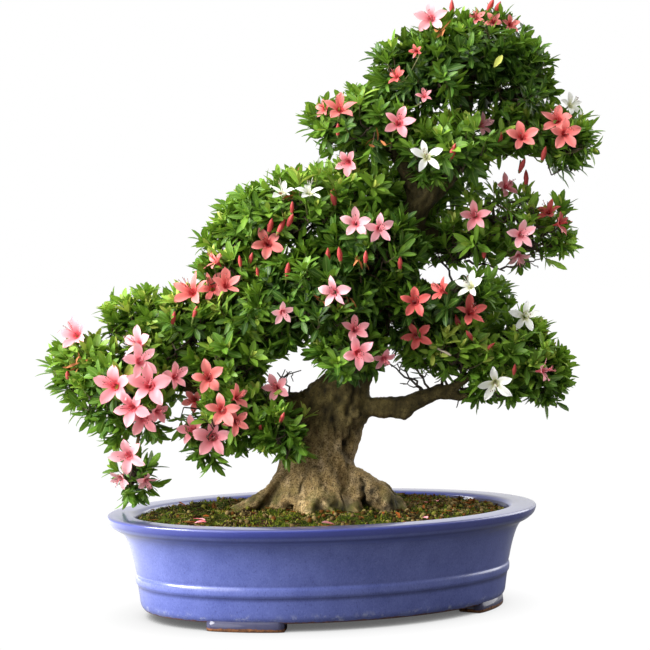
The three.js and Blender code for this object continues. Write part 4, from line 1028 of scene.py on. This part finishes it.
def smooth_curve(start, end, rng, steps, wander, sag=0.0):
    """Paths (copies, steps, 3) from starts to ends that wander a little and sag."""
    start, end = np.atleast_2d(start), np.atleast_2d(end)
    share = np.linspace(0, 1, steps)[None, :, None]
    arch = 4 * share * (1 - share)
    drift = rng.normal(0, wander, (len(start), 1, 3))
    path = start[:, None] * (1 - share) + end[:, None] * share + arch * (drift - (0, 0, sag))
    path[:, 1:-1] += rng.normal(0, 0.3 * wander, path[:, 1:-1].shape)
    return path


def is_in_clearing(points, margin=1.0):
    """True for points that the camera sees in one of the openings through the foliage."""
    scale = CAMERA["distance"] / (CAMERA["distance"] + points[..., 1])
    seen_x = points[..., 0] * scale
    seen_z = CAMERA["height"] + (points[..., 2] - CAMERA["height"]) * scale
    inside = np.zeros(points.shape[:-1], bool)
    for x, z, half_x, half_z in CLEARINGS:
        inside |= ((seen_x - x) / half_x) ** 2 + ((seen_z - z) / half_z) ** 2 < margin
    return inside

def clear_paths(paths):
    """The paths that pass no opening through the foliage."""
    return paths[~is_in_clearing(paths, 0.9).any(axis=1)]


def is_over_flower(points, flowers, rng):
    """True for points in front of a flower's face, apart from a few that are let through."""
    hidden = np.zeros(len(points), bool)
    for centre, facing, width in flowers:
        offset = points - centre
        ahead = offset @ facing
        aside = np.linalg.norm(offset - ahead[:, None] * facing, axis=-1)
        in_reach = (ahead > -FLOWER_ROOM["behind"] * width) & (ahead < FLOWER_ROOM["ahead"])
        hidden |= in_reach & (aside < FLOWER_ROOM["aside"] * width)
        before = (np.sign(facing[1]) or -1.0) * offset[:, 1] > 0
        hidden |= before & (np.hypot(offset[:, 0], offset[:, 2]) < FLOWER_ROOM["in_view"] * width)
    return hidden & (rng.uniform(0, 1, len(points)) > FLOWER_ROOM["let_through"])


def shoots_of(name, lumps, rng):
    """A pad's shoots: place, outward direction, 1 on the outside or 0 within, and their lump."""
    found = []
    for number, lump in enumerate(lumps):
        others = ALL_LUMPS[np.any(ALL_LUMPS != lump, axis=1)]
        for is_outer, (spacing, low, high, apart) in zip((1, 0), SHELLS):
            place, outward = spread_on(lump, rng, spacing, low, high)
            free = lump_depths(place, others).min(axis=1) > apart
            clump = np.array([noise.noise(point / CLUMPS["size"] + Vector((7, 3, 5))) for point in place])
            share = np.where(clump < CLUMPS["sparse_under"], CLUMPS["share"], 1.0) * AIRY.get(name, 1.0)
            share *= np.clip(1.25 + outward[:, 2], 0.45, 1.0)
            free &= (rng.uniform(0, 1, len(place)) < share) & ~is_in_clearing(place, 1.3)
            count = free.sum()
            found.append((place[free], outward[free], np.full(count, is_outer), np.full(count, number)))
    for x, y, z, to_right, up in LEADERS:
        place = np.array([[x, y, z]], float) + rng.normal(0, 3, (3, 3))
        nearest = lump_depths(place[:1], ALL_LUMPS)[0].argmin()
        mine = np.flatnonzero(np.all(lumps == ALL_LUMPS[nearest], axis=1))
        if len(mine):
            along = unit(np.array([[to_right, 0, up]]) + rng.normal(0, 0.2, (3, 3)))
            found.append((place, along, np.ones(3, int), np.full(3, mine[0])))
    return [np.concatenate(values) for values in zip(*found)]


def add_whorl(foliage, shoots, whorl, flowers, rng):
    """One turn of leaves round each shoot."""
    place, axis, side, up, size, youth_and_light, slim = shoots
    per_shoot, tilt_low, tilt_high, length, width, back, younger, curl = whorl
    count = len(place)
    turn = rng.uniform(0, 2 * np.pi, (count, 1)) + 2 * np.pi * np.arange(per_shoot) / per_shoot
    turn = turn + rng.normal(0, 0.25, turn.shape)
    tilt = np.radians(rng.uniform(tilt_low, tilt_high, turn.shape))
    radial = np.cos(turn)[..., None] * side[:, None] + np.sin(turn)[..., None] * up[:, None]
    along = np.cos(tilt)[..., None] * axis[:, None] + np.sin(tilt)[..., None] * radial
    face = np.sin(tilt)[..., None] * axis[:, None] - np.cos(tilt)[..., None] * radial
    down = (back + rng.uniform(-2, 2, turn.shape))[..., None]
    base = place[:, None] - axis[:, None] * down + radial * 0.8
    lengths = LEAF["length"] * length * size[:, None] * rng.uniform(0.72, 1.15, turn.shape)
    widths = LEAF["width"] * width * size[:, None] * slim[:, None] * rng.uniform(0.85, 1.12, turn.shape)
    tones = youth_and_light[:, None] + younger + rng.normal(0, 0.06, turn.shape)
    lengths, widths, tones = lengths.ravel(), widths.ravel(), tones.ravel()
    base, along, face = (value.reshape(-1, 3) for value in (base, along, face))
    middle, tip = (base + along * share * lengths[:, None] for share in (0.55, 1))
    shown = ~is_over_flower(middle, flowers, rng) & ~is_over_flower(tip, flowers, rng)
    shown &= ~is_in_clearing(tip, 0.75) & ~is_in_clearing(middle, 0.9)
    shown &= rng.uniform(0, 1, len(shown)) > 0.1
    curls = rng.uniform(-0.1, 0.7, len(shown)) * curl
    blades = (value[shown] for value in (base, along, face, lengths, widths, curls))
    foliage.add_leaves(*blades, tone=np.clip(tones[shown], 0.02, 0.86)[:, None])


def add_twigs(foliage, lumps, place, axis, number, wood, rng):
    """Stems from the shoots, meeting in twigs that grow from the nearest wood."""
    foot = place - axis * rng.uniform(15, 22, (len(place), 1)) + rng.normal(0, 1.2, place.shape)
    stems = np.stack([place + axis, 0.5 * (place + foot) + rng.normal(0, 0.8, place.shape), foot], 1)
    foliage.add_tubes(stems, [0.45, 0.6, 0.8], 3, tone=np.repeat([0.95, 0.5, 0.2], 3), slot=1)
    for index, lump in enumerate(lumps):
        hub = lump[:3] - lump[3:] * (0, 0, 0.35)
        joints, _ = spread_on(lump, rng, 36, 0.42, 0.62)
        mine = foot[number == index]
        near = np.linalg.norm(mine[:, None] - joints[None], axis=-1).argmin(axis=1)
        twigs = clear_paths(smooth_curve(mine, joints[near], rng, 4, 2.0))
        foliage.add_tubes(twigs, [0.75, 0.85, 0.95, 1.15], 4, tone=0.12, slot=1)
        boughs = clear_paths(smooth_curve(joints, hub, rng, 6, 3.5, sag=2))
        foliage.add_tubes(boughs, np.linspace(1.1, 1.9, 6), 5, tone=0.08, slot=1)
        touch, _, _, _ = wood.find_nearest(Vector(row(hub)))
        limb = smooth_curve(hub, tree_axes(touch), rng, 8, 4, sag=3)
        foliage.add_tubes(limb, np.linspace(1.9, 3.4, 8), 7, tone=0.05, slot=1)


def make_foliage(name, lumps, rng, flowers, wood, materials):
    """One pad of leafy shoots: whorls of leaves on thin stems that meet in twigs."""
    lumps = np.array(lumps, float)
    place, outward, outer, number = shoots_of(name, lumps, rng)
    count = len(place)
    lift = rng.uniform(0.2, 1.0, (count, 1)) * (outward[:, 2:] > -0.75)
    scatter = rng.normal(0, LEAN["scatter"], (count, 3))
    axis = unit(outward * LEAN["outward"] + np.array([0, 0, 1.0]) * lift + scatter)
    flush = rng.uniform(0, 1, count) < FLUSH["share"]
    # The tone holds the leaves' age and painted light: lighter at the top and outside, darker within, and by
    # pad.
    youth_and_light = AGE["least"] + AGE["top"] * (0.5 + 0.5 * outward[:, 2]) + AGE["outside"] * outer
    youth_and_light = youth_and_light + AGE["flush"] * flush + rng.normal(0, AGE["scatter"], count) + PAINTED_PAD_LIGHT.get(name, 0)
    side = unit(np.cross(axis, (0.21, 0.37, 0.9)))
    size = rng.uniform(0.82, 1.12, count)
    slim = np.where(flush, FLUSH["slimmer"], 1.0) * rng.uniform(0.88, 1.1, count)
    shoots = (place, axis, side, np.cross(axis, side), size, youth_and_light, slim)
    foliage = Collector()
    for order, whorl in enumerate(WHORLS):
        chosen = (outer == 1) | (order in (0, 2))
        add_whorl(foliage, [value[chosen] for value in shoots], whorl, flowers, rng)
    add_twigs(foliage, lumps, place, axis, number, wood, rng)
    return foliage.piece("leaves_" + name, materials, "azalea_leaf", "foliage_" + name)


# ---------------------------------------------------------------- flowers

PETAL_COUNT = 5
# The darker blotch down the petals: where along them, how long, and how strong on the top one and others.
BLOTCH = {"place": 0.32, "length": 0.14, "top": 0.45, "others": 0.08}
RUFFLE, CUP = 0.016, 0.36  # how wavy a petal's sides are, and how far they rise
PETAL_ALONG = np.linspace(0, 1, 11)
PETAL_ACROSS = np.linspace(-1, 1, 7)
# A petal's middle line and half width along it, as shares of the flower's width.
PETAL_REACH = np.interp(PETAL_ALONG, [0, 0.2, 0.4, 0.6, 0.8, 1], [0.03, 0.075, 0.17, 0.29, 0.41, 0.515])
PETAL_RISE = np.interp(PETAL_ALONG, [0, 0.2, 0.4, 0.6, 0.8, 1], [-0.34, -0.22, -0.13, -0.07, -0.035, -0.03])
PETAL_HALF = np.interp(PETAL_ALONG, [0, 0.15, 0.35, 0.55, 0.72, 0.86, 0.95, 1],
                       [0.03, 0.055, 0.100, 0.126, 0.108, 0.066, 0.030, 0.004])


def flower_axes(facing, roll):
    """The flower's right and up, square to where it faces, turned by its roll."""
    upright = unit(np.array([0, 0, 1.0]) - facing * facing[2])
    right = np.cross(upright, facing)
    c, s = math.cos(math.radians(roll)), math.sin(math.radians(roll))
    return c * right + s * upright, c * upright - s * right


def add_petals(flower, centre, facing, roll, width, breadth, rng, tone):
    """Five petals joined in a funnel, each with its own bend, sway, twist and ruffle."""
    right, up = flower_axes(facing, roll)
    opening = rng.normal(0, 0.035)
    u, v = PETAL_ALONG[:, None], PETAL_ACROSS[None]
    uv = np.stack(np.broadcast_arrays(0.5 + 0.5 * v, u), -1).reshape(-1, 2)
    for k in range(PETAL_COUNT):
        turn = np.pi / 2 + 2 * np.pi * k / PETAL_COUNT + rng.normal(0, 0.08)
        out = math.cos(turn) * right + math.sin(turn) * up
        aside = -math.sin(turn) * right + math.cos(turn) * up
        scale = width * rng.uniform(0.93, 1.07)
        bending, sway = opening + rng.normal(0, 0.05), rng.normal(0, 0.03)
        half = PETAL_HALF[:, None] * breadth * rng.uniform(0.9, 1.1)
        twist = rng.normal(0, 0.38) * u
        ruffle = RUFFLE * np.sin(8 * u + 4 * v + rng.uniform(0, 6)) * np.abs(v) * u
        cup = CUP * half * np.abs(v) ** 1.4 * (1 - 0.7 * u)
        reach = PETAL_REACH[:, None] - 0.6 * np.abs(bending) * u ** 2 + 0 * v
        rise = PETAL_RISE[:, None] + bending * u ** 2 + ruffle + cup + v * half * np.sin(twist)
        wide = v * half * np.cos(twist) + sway * u ** 2
        points = reach[..., None] * out + wide[..., None] * aside + rise[..., None] * facing
        blotch = np.exp(-((u - BLOTCH["place"]) / BLOTCH["length"]) ** 2) * (np.abs(v) < 0.8)
        blotch = tone + BLOTCH["others" if k else "top"] * blotch
        flower.add_grid(centre + scale * points, closed=False, tone=np.clip(blotch, 0, 0.8).ravel(), uv=uv)


def add_stamens(flower, centre, facing, roll, width, rng, count=5):
    """Curved filaments with dark anthers, and last a longer style."""
    right, up = flower_axes(facing, roll)
    share = np.linspace(0, 1, 5)[:, None]
    for k in range(count + 1):
        turn = rng.uniform(0, 2 * np.pi)
        lean = 0.10 * (math.cos(turn) * right + math.sin(turn) * up) - 0.05 * up
        reach = width * (0.36 if k == count else rng.uniform(0.2, 0.3))
        path = centre - 0.2 * width * facing + share * (reach + 0.2 * width) * facing
        path = path + share ** 2 * width * (lean + 0.10 * up)
        flower.add_tubes(path, np.full(5, 0.28), 3, tone=0.15, uv=(0.5, 0.5))
        tip = path[-1] + np.outer([-0.7, -0.25, 0.25, 0.7], up)
        flower.add_tubes(tip, [0.1, 0.45, 0.45, 0.1], 4, slot=2, tone=0.9)


# How far behind the flower its tube is, and how thick there, as shares of its width. The same of its cup.
TUBE_BACK, TUBE_RADII = np.array([0.16, 0.26, 0.33, 0.46, 0.472]), [0.10, 0.062, 0.042, 0.026, 0.001]
CUP_BACK, CUP_RADII = np.linspace(0.44, 0.58, 4), [0.034, 0.044, 0.038, 0.02]


def add_stalk(flower, centre, facing, width, knot, inward):
    """The narrow tube behind the petals, its green cup, and the stalk down into the pad."""
    flower.add_tubes(centre - width * np.outer(TUBE_BACK, facing), np.multiply(width, TUBE_RADII), 8,
                     tone=0.1, uv=(0.5, 0.12))
    cup = centre - width * np.outer(CUP_BACK, facing)
    flower.add_tubes(cup, np.multiply(width, CUP_RADII), 6, slot=1, tone=0.95)
    stalk = bend(cup[-1], cup[-1] - 0.2 * width * facing, knot + 12 * inward, 7)
    flower.add_tubes(stalk, np.full(7, 0.75), 4, slot=1, tone=0.7)


def in_sight(x, y, z):
    """The place at depth y that covers x, z of the tree's middle plane, seen from the front."""
    nearness = 1 + y / CAMERA["distance"]
    return np.array([x * nearness, y, CAMERA["height"] + (z - CAMERA["height"]) * nearness])


def flower_facing(to_right, up, side):
    """Where a flower faces. Side is -1 on the tree's front and 1 on its back."""
    yaw, pitch = math.radians(to_right), math.radians(up)
    level = side * math.cos(pitch)
    return np.array([-level * math.sin(yaw), level * math.cos(yaw), math.sin(pitch)])


def flower_places(nodes):
    """Each CAD flower node's flowers, as (centre, facing, roll, width), with the truss's knot."""
    found = []
    listed = [(-1, truss) for truss in TRUSSES] + [(1, truss) for truss in BACK_TRUSSES]
    for number, (side, (tint, flowers)) in enumerate(listed, start=1):
        name = f"flowers_{number:02d}_{tint}"
        mesh = nodes[name].data
        points = tree_axes(vertex_values(mesh, "co"))
        knot = points[lump_depths(points, ALL_LUMPS).min(axis=1).argmin()]
        faces = [tuple(face.vertices) for face in mesh.polygons]
        surface = BVHTree.FromPolygons([Vector(point) for point in points], faces)
        here = []
        for x, z, to_right, up, roll, width in flowers:
            hit, _, _, _ = surface.ray_cast(Vector((x, side * 400, z)), Vector((0, -side, 0)))
            depth = hit[1] if hit else points[:, 1].mean()
            centre = in_sight(x, depth + side * 0.2 * width, z)
            here.append((centre, flower_facing(to_right, up, side), roll, width))
        nearest = ALL_LUMPS[lump_depths(knot[None], ALL_LUMPS)[0].argmin()]
        found.append((name, tint, here, knot, unit(nearest[:3] - knot)))
    return found


def make_flowers(places, petals, stem, anther, rng):
    """One piece of detailed blooms for each CAD flower node."""
    for name, tint, flowers, knot, inward in places:
        truss = Collector()
        for centre, facing, roll, width in flowers:
            tone = np.clip(rng.normal(0.03, 0.05), 0, 0.2)
            add_petals(truss, centre, facing, roll, width, PETALS[tint][0], rng, tone)
            add_stamens(truss, centre, facing, roll, width, rng)
            add_stalk(truss, centre, facing, width, knot, inward)
        truss.piece("bloom_" + name.split("_", 1)[1], [petals[tint], stem, anther], "petal_" + tint, name)


def front_of(x, z):
    """Where the foliage's front lies at x, z."""
    off = ((x - ALL_LUMPS[:, 0]) / ALL_LUMPS[:, 3]) ** 2 + ((z - ALL_LUMPS[:, 2]) / ALL_LUMPS[:, 5]) ** 2
    inside = off < 0.97
    if not inside.any():
        depth = lump_depths(np.array([[x, 0, z]], float), ALL_LUMPS)[0]
        return ALL_LUMPS[depth.argmin(), 1]
    return (ALL_LUMPS[inside, 1] - ALL_LUMPS[inside, 4] * np.sqrt(1 - off[inside])).min()


# Bare twigs: where they leave the wood, where they end in the leaves, and their thickness.
TWIGS = [
    ((104, -6, 214), (84, -14, 242), 1.6), ((112, -8, 218), (92, -16, 264), 1.4),
    ((122, -8, 222), (120, -18, 262), 1.7), ((134, -8, 228), (158, -14, 250), 2.4),
    ((128, -8, 224), (142, -20, 258), 1.5), ((118, -8, 216), (150, -12, 214), 2.0),
    ((140, -8, 222), (182, -14, 220), 1.6), ((106, -4, 216), (66, 4, 250), 1.4),
    ((-30, -6, 206), (-44, -14, 240), 1.4), ((-52, -10, 206), (-40, -20, 236), 1.3),
    ((-46, -8, 208), (-20, -16, 242), 1.2), ((134, 4, 330), (112, -4, 352), 1.3),
    ((150, 6, 400), (178, -6, 410), 1.6), ((148, 4, 380), (196, -8, 372), 1.6),
    ((146, 4, 350), (186, -8, 340), 1.5), ((186, -6, 374), (226, -12, 384), 1.2),
    ((182, -6, 342), (222, -12, 352), 1.2), ((190, -6, 410), (220, -10, 396), 1.1),
]
# Shrivelled flowers: x, z, shreds and spread.
WITHERED = [(28, 312, 9, 3.5), (5, 314, 6, 3), (95, 387, 6, 2.5), (-243, 248, 7, 3), (-137, 262, 8, 3),
            (225, 282, 5, 2.5), (124, 583, 7, 3), (40, 352, 5, 2.5), (-30, 420, 5, 2.5), (60, 470, 5, 2.5)]
YELLOW_LEAF = (177, 546)
DEAD_TWIG = ((83, 273), (132, 255))


def into_foliage(place, depth):
    """The point on the way to the nearest lump's middle that lies that deep in the lump."""
    depths = lump_depths(place[None], ALL_LUMPS)[0]
    middle = ALL_LUMPS[depths.argmin(), :3]
    here = depths.min()
    return place if here <= depth else middle + (place - middle) * depth / here


BUD_ALONG = np.linspace(0, 1, 9)
BUD_RADII = np.interp(BUD_ALONG, [0, 0.2, 0.5, 0.8, 1], [0.06, 0.12, 0.165, 0.11, 0.01])


def make_buds(rng, petal, stem):
    """Slender pointed flower buds, furled, each in a green cup on its stalk."""
    buds = Collector()
    for x, z in BUDS:
        lean = unit(np.array([0.12, -0.45, 0.88]) + rng.normal(0, 0.26, 3))
        length = rng.uniform(13, 19)
        foot = in_sight(x, front_of(x, z) - 4, z) - 0.5 * length * lean
        buds.add_tubes(foot + lean * length * BUD_ALONG[:, None], length * BUD_RADII, 8,
                       tone=rng.uniform(0.0, 0.35), uv=(0.5, 0.45))
        root = into_foliage(foot - 9 * lean, 0.8)
        stalk = [root, 0.5 * (root + foot) - 1.5 * lean, foot, foot + 0.14 * length * lean]
        buds.add_tubes(stalk, [0.8, 0.7, 1.2, 0.125 * length], 6, slot=1, tone=0.9)
    return buds.piece("flower_buds", [petal, stem], "petal_coral")


def make_twigs(rng, stem):
    """Bare twigs between the limbs and the undersides of the pads."""
    twigs = Collector()
    for start, end, thick in TWIGS:
        path = smooth_curve(start, end, rng, 9, 4)
        twigs.add_tubes(path, np.linspace(thick, 0.45 * thick, 9), 5, tone=0.05)
        for joint in (3, 5, 7):
            reach = rng.uniform(9, 17)
            tip = path[0, joint] + reach * unit(rng.normal(0, 1, 3) * (1, 0.6, 0.7) + (0, 0, 0.6))
            branch = smooth_curve(path[0, joint], tip, rng, 5, 2)
            twigs.add_tubes(branch, np.linspace(0.5 * thick, 0.45, 5), 4, tone=0.1)
    return twigs.piece("bare_twigs", [stem], "bark")


def make_withered(rng, rust, dead_wood, leaf):
    """Shrivelled flowers that hang on, a yellow leaf, and a dead stub of a twig."""
    bits = Collector()
    for x, z, count, spread in WITHERED:
        heart = in_sight(x, front_of(x, z) - 1, z)
        start = heart + rng.normal(0, spread, (count, 3))
        along = unit(rng.normal(0, 1, (count, 3)) * (1, 0.5, 1) + (0, -0.3, -0.3))
        face = unit(np.cross(along, rng.normal(0, 1, (count, 3))))
        bits.add_leaves(start, along, face, rng.uniform(6, 13, count), rng.uniform(1.6, 3.4, count),
                        rng.uniform(0.6, 1.8, count))
    x, z = YELLOW_LEAF
    heart = in_sight(x, front_of(x, z) - 6, z)[None]
    bits.add_leaves(heart, np.array([[0.5, -0.5, 0.7]]), unit([[0.2, -0.9, 0.4]]), [15.0], [6.5], [0.2],
                    tone=1.0, slot=2)
    start, end = (in_sight(x, front_of(x, z) - 2, z) for x, z in DEAD_TWIG)
    path = smooth_curve(start, end, rng, 9, 2)
    bits.add_tubes(path, [1.0, 1.5, 1.3, 1.5, 1.25, 1.45, 1.2, 1.3, 0.9], 7, slot=1)
    return bits.piece("withered_bits", [rust, dead_wood, leaf], "petal_coral")


# ---------------------------------------------------------------- stage


def make_camera():
    """The camera in front of the tree, at the photograph's viewing angle."""
    forward = unit(turned((CAMERA["yaw"], 1, -CAMERA["pitch"]), TREE_TURN))
    right = unit(np.cross(forward, (0, 0, 1)))
    upright = np.cross(right, forward)
    c, s = math.cos(CAMERA["roll"]), math.sin(CAMERA["roll"])
    place = row((0, -CAMERA["distance"], CAMERA["height"]))
    data = bpy.data.cameras.new("camera")
    data.lens, data.sensor_width, data.clip_end = LENS["focal"], LENS["sensor"], 200
    camera = bpy.data.objects.new("camera", data)
    matrix = Matrix.Identity(4)
    for column, axis in enumerate((c * right + s * upright, c * upright - s * right, -forward, place)):
        matrix.col[column][:3] = axis
    camera.matrix_world = matrix
    bpy.context.scene.collection.objects.link(camera)
    bpy.context.scene.camera = camera


def make_world():
    """A white studio wall behind the object that dims towards the dark room in front of it."""
    w = Nodes(bpy.data.worlds.new("studio"))
    path = w.add("LightPath").node.outputs
    facing = w.along(w.place("Generated"), turned((0, 1, 0.35), TREE_TURN))
    glow = w.add("MapRange", {"Value": facing, "From Min": -0.35, "From Max": 0.75,
                              "To Min": ROOM["front"], "To Max": ROOM["back"]})
    strength = w.times(glow, w.scaled(path["Is Glossy Ray"], -0.22, 1.0))
    lit = w.add("Background", {"Color": (1, 1, 1), "Strength": strength})
    seen = w.add("Background", {"Color": (1, 1, 1), "Strength": 1.0})
    bpy.context.scene.world = w.finish(w.blend(path["Is Camera Ray"], lit, seen))


def make_floor():
    """A wide floor that glows white for the camera, with soft shadows painted from how open it is, and throws
    light back at the object's left.
    """
    bpy.ops.mesh.primitive_plane_add(size=60)
    floor = bpy.context.object
    floor.name = "floor"
    m = material_nodes("white_floor")
    openness = m.add("AmbientOcclusion", {"Distance": 0.05}, out="AO", samples=16)
    seen = m.add("Emission", {"Color": m.ramp(openness, FLOOR_SHADOW), "Strength": 1.01})
    to_right = m.rise(m.along(m.place(), turned((1, 0, 0), TREE_TURN)), -0.50, -0.10)
    lit = m.add("BsdfDiffuse", {"Color": m.ramp(to_right, FLOOR_BOUNCE)})
    shown = m.blend(m.add("LightPath", out="Is Camera Ray"), lit, seen)
    floor.data.materials.append(m.finish(shown))


def make_stage():
    """The studio: its walls, floor and lights, the widest of them high on the tree's left."""
    scene = bpy.context.scene
    scene.view_settings.view_transform = "Standard"
    make_world()
    make_floor()
    for name, (from_front, elevation, strength, spread) in LIGHTS.items():
        sun = bpy.data.lights.new(name, "SUN")
        sun.energy, sun.angle = strength, math.radians(spread)
        lamp = bpy.data.objects.new(name, sun)
        a, e = math.radians(from_front), math.radians(elevation)
        towards = turned((math.sin(a) * math.cos(e), -math.cos(a) * math.cos(e), math.sin(e)), TREE_TURN)
        lamp.rotation_euler = Vector(towards).to_track_quat("Z", "Y").to_euler()
        scene.collection.objects.link(lamp)


# ---------------------------------------------------------------- the whole


def main():
    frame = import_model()
    rng = np.random.default_rng(SEED)
    make_camera()
    make_stage()

    glaze, bark, leaf, stem = glaze_material(), bark_material(), leaf_material(), stem_material()
    petals = {tint: petal_material("petal_" + tint, *colours) for tint, (_, *colours) in PETALS.items()}
    anther = plain_material("anther", (0.22, 0.09, 0.06), 0.7, 1)
    rust = plain_material("withered", (0.40, 0.13, 0.03), 0.8, 3)
    dead_wood = plain_material("dead_wood", (0.36, 0.30, 0.22), 0.85, 2)
    screen_plastic = plain_material("screen_plastic", (0.02, 0.021, 0.018), 0.6, 2)
    for name in ("drain_screen_left", "drain_screen_right"):
        frame["nodes"][name].data.materials.clear()
        frame["nodes"][name].data.materials.append(screen_plastic)

    make_pot(glaze)
    soil, grit = soil_material(), grit_material()
    make_soil(rng, soil, grit)
    make_litter(rng, soil, grit, petals["pink"])
    tree = make_tree(frame["nodes"]["tree"], bark)
    wood = BVHTree.FromObject(tree, bpy.context.evaluated_depsgraph_get())
    places = flower_places(frame["nodes"])
    make_flowers(places, petals, stem, anther, rng)
    faces = [(centre, facing, width) for _, _, flowers, _, _ in places
             for centre, facing, _, width in flowers]
    for name, lumps in PADS.items():
        make_foliage(name, lumps, rng, faces, wood, [leaf, stem])
    make_buds(rng, petals["coral"], stem)
    make_twigs(rng, stem)
    make_withered(rng, rust, dead_wood, leaf)


main()
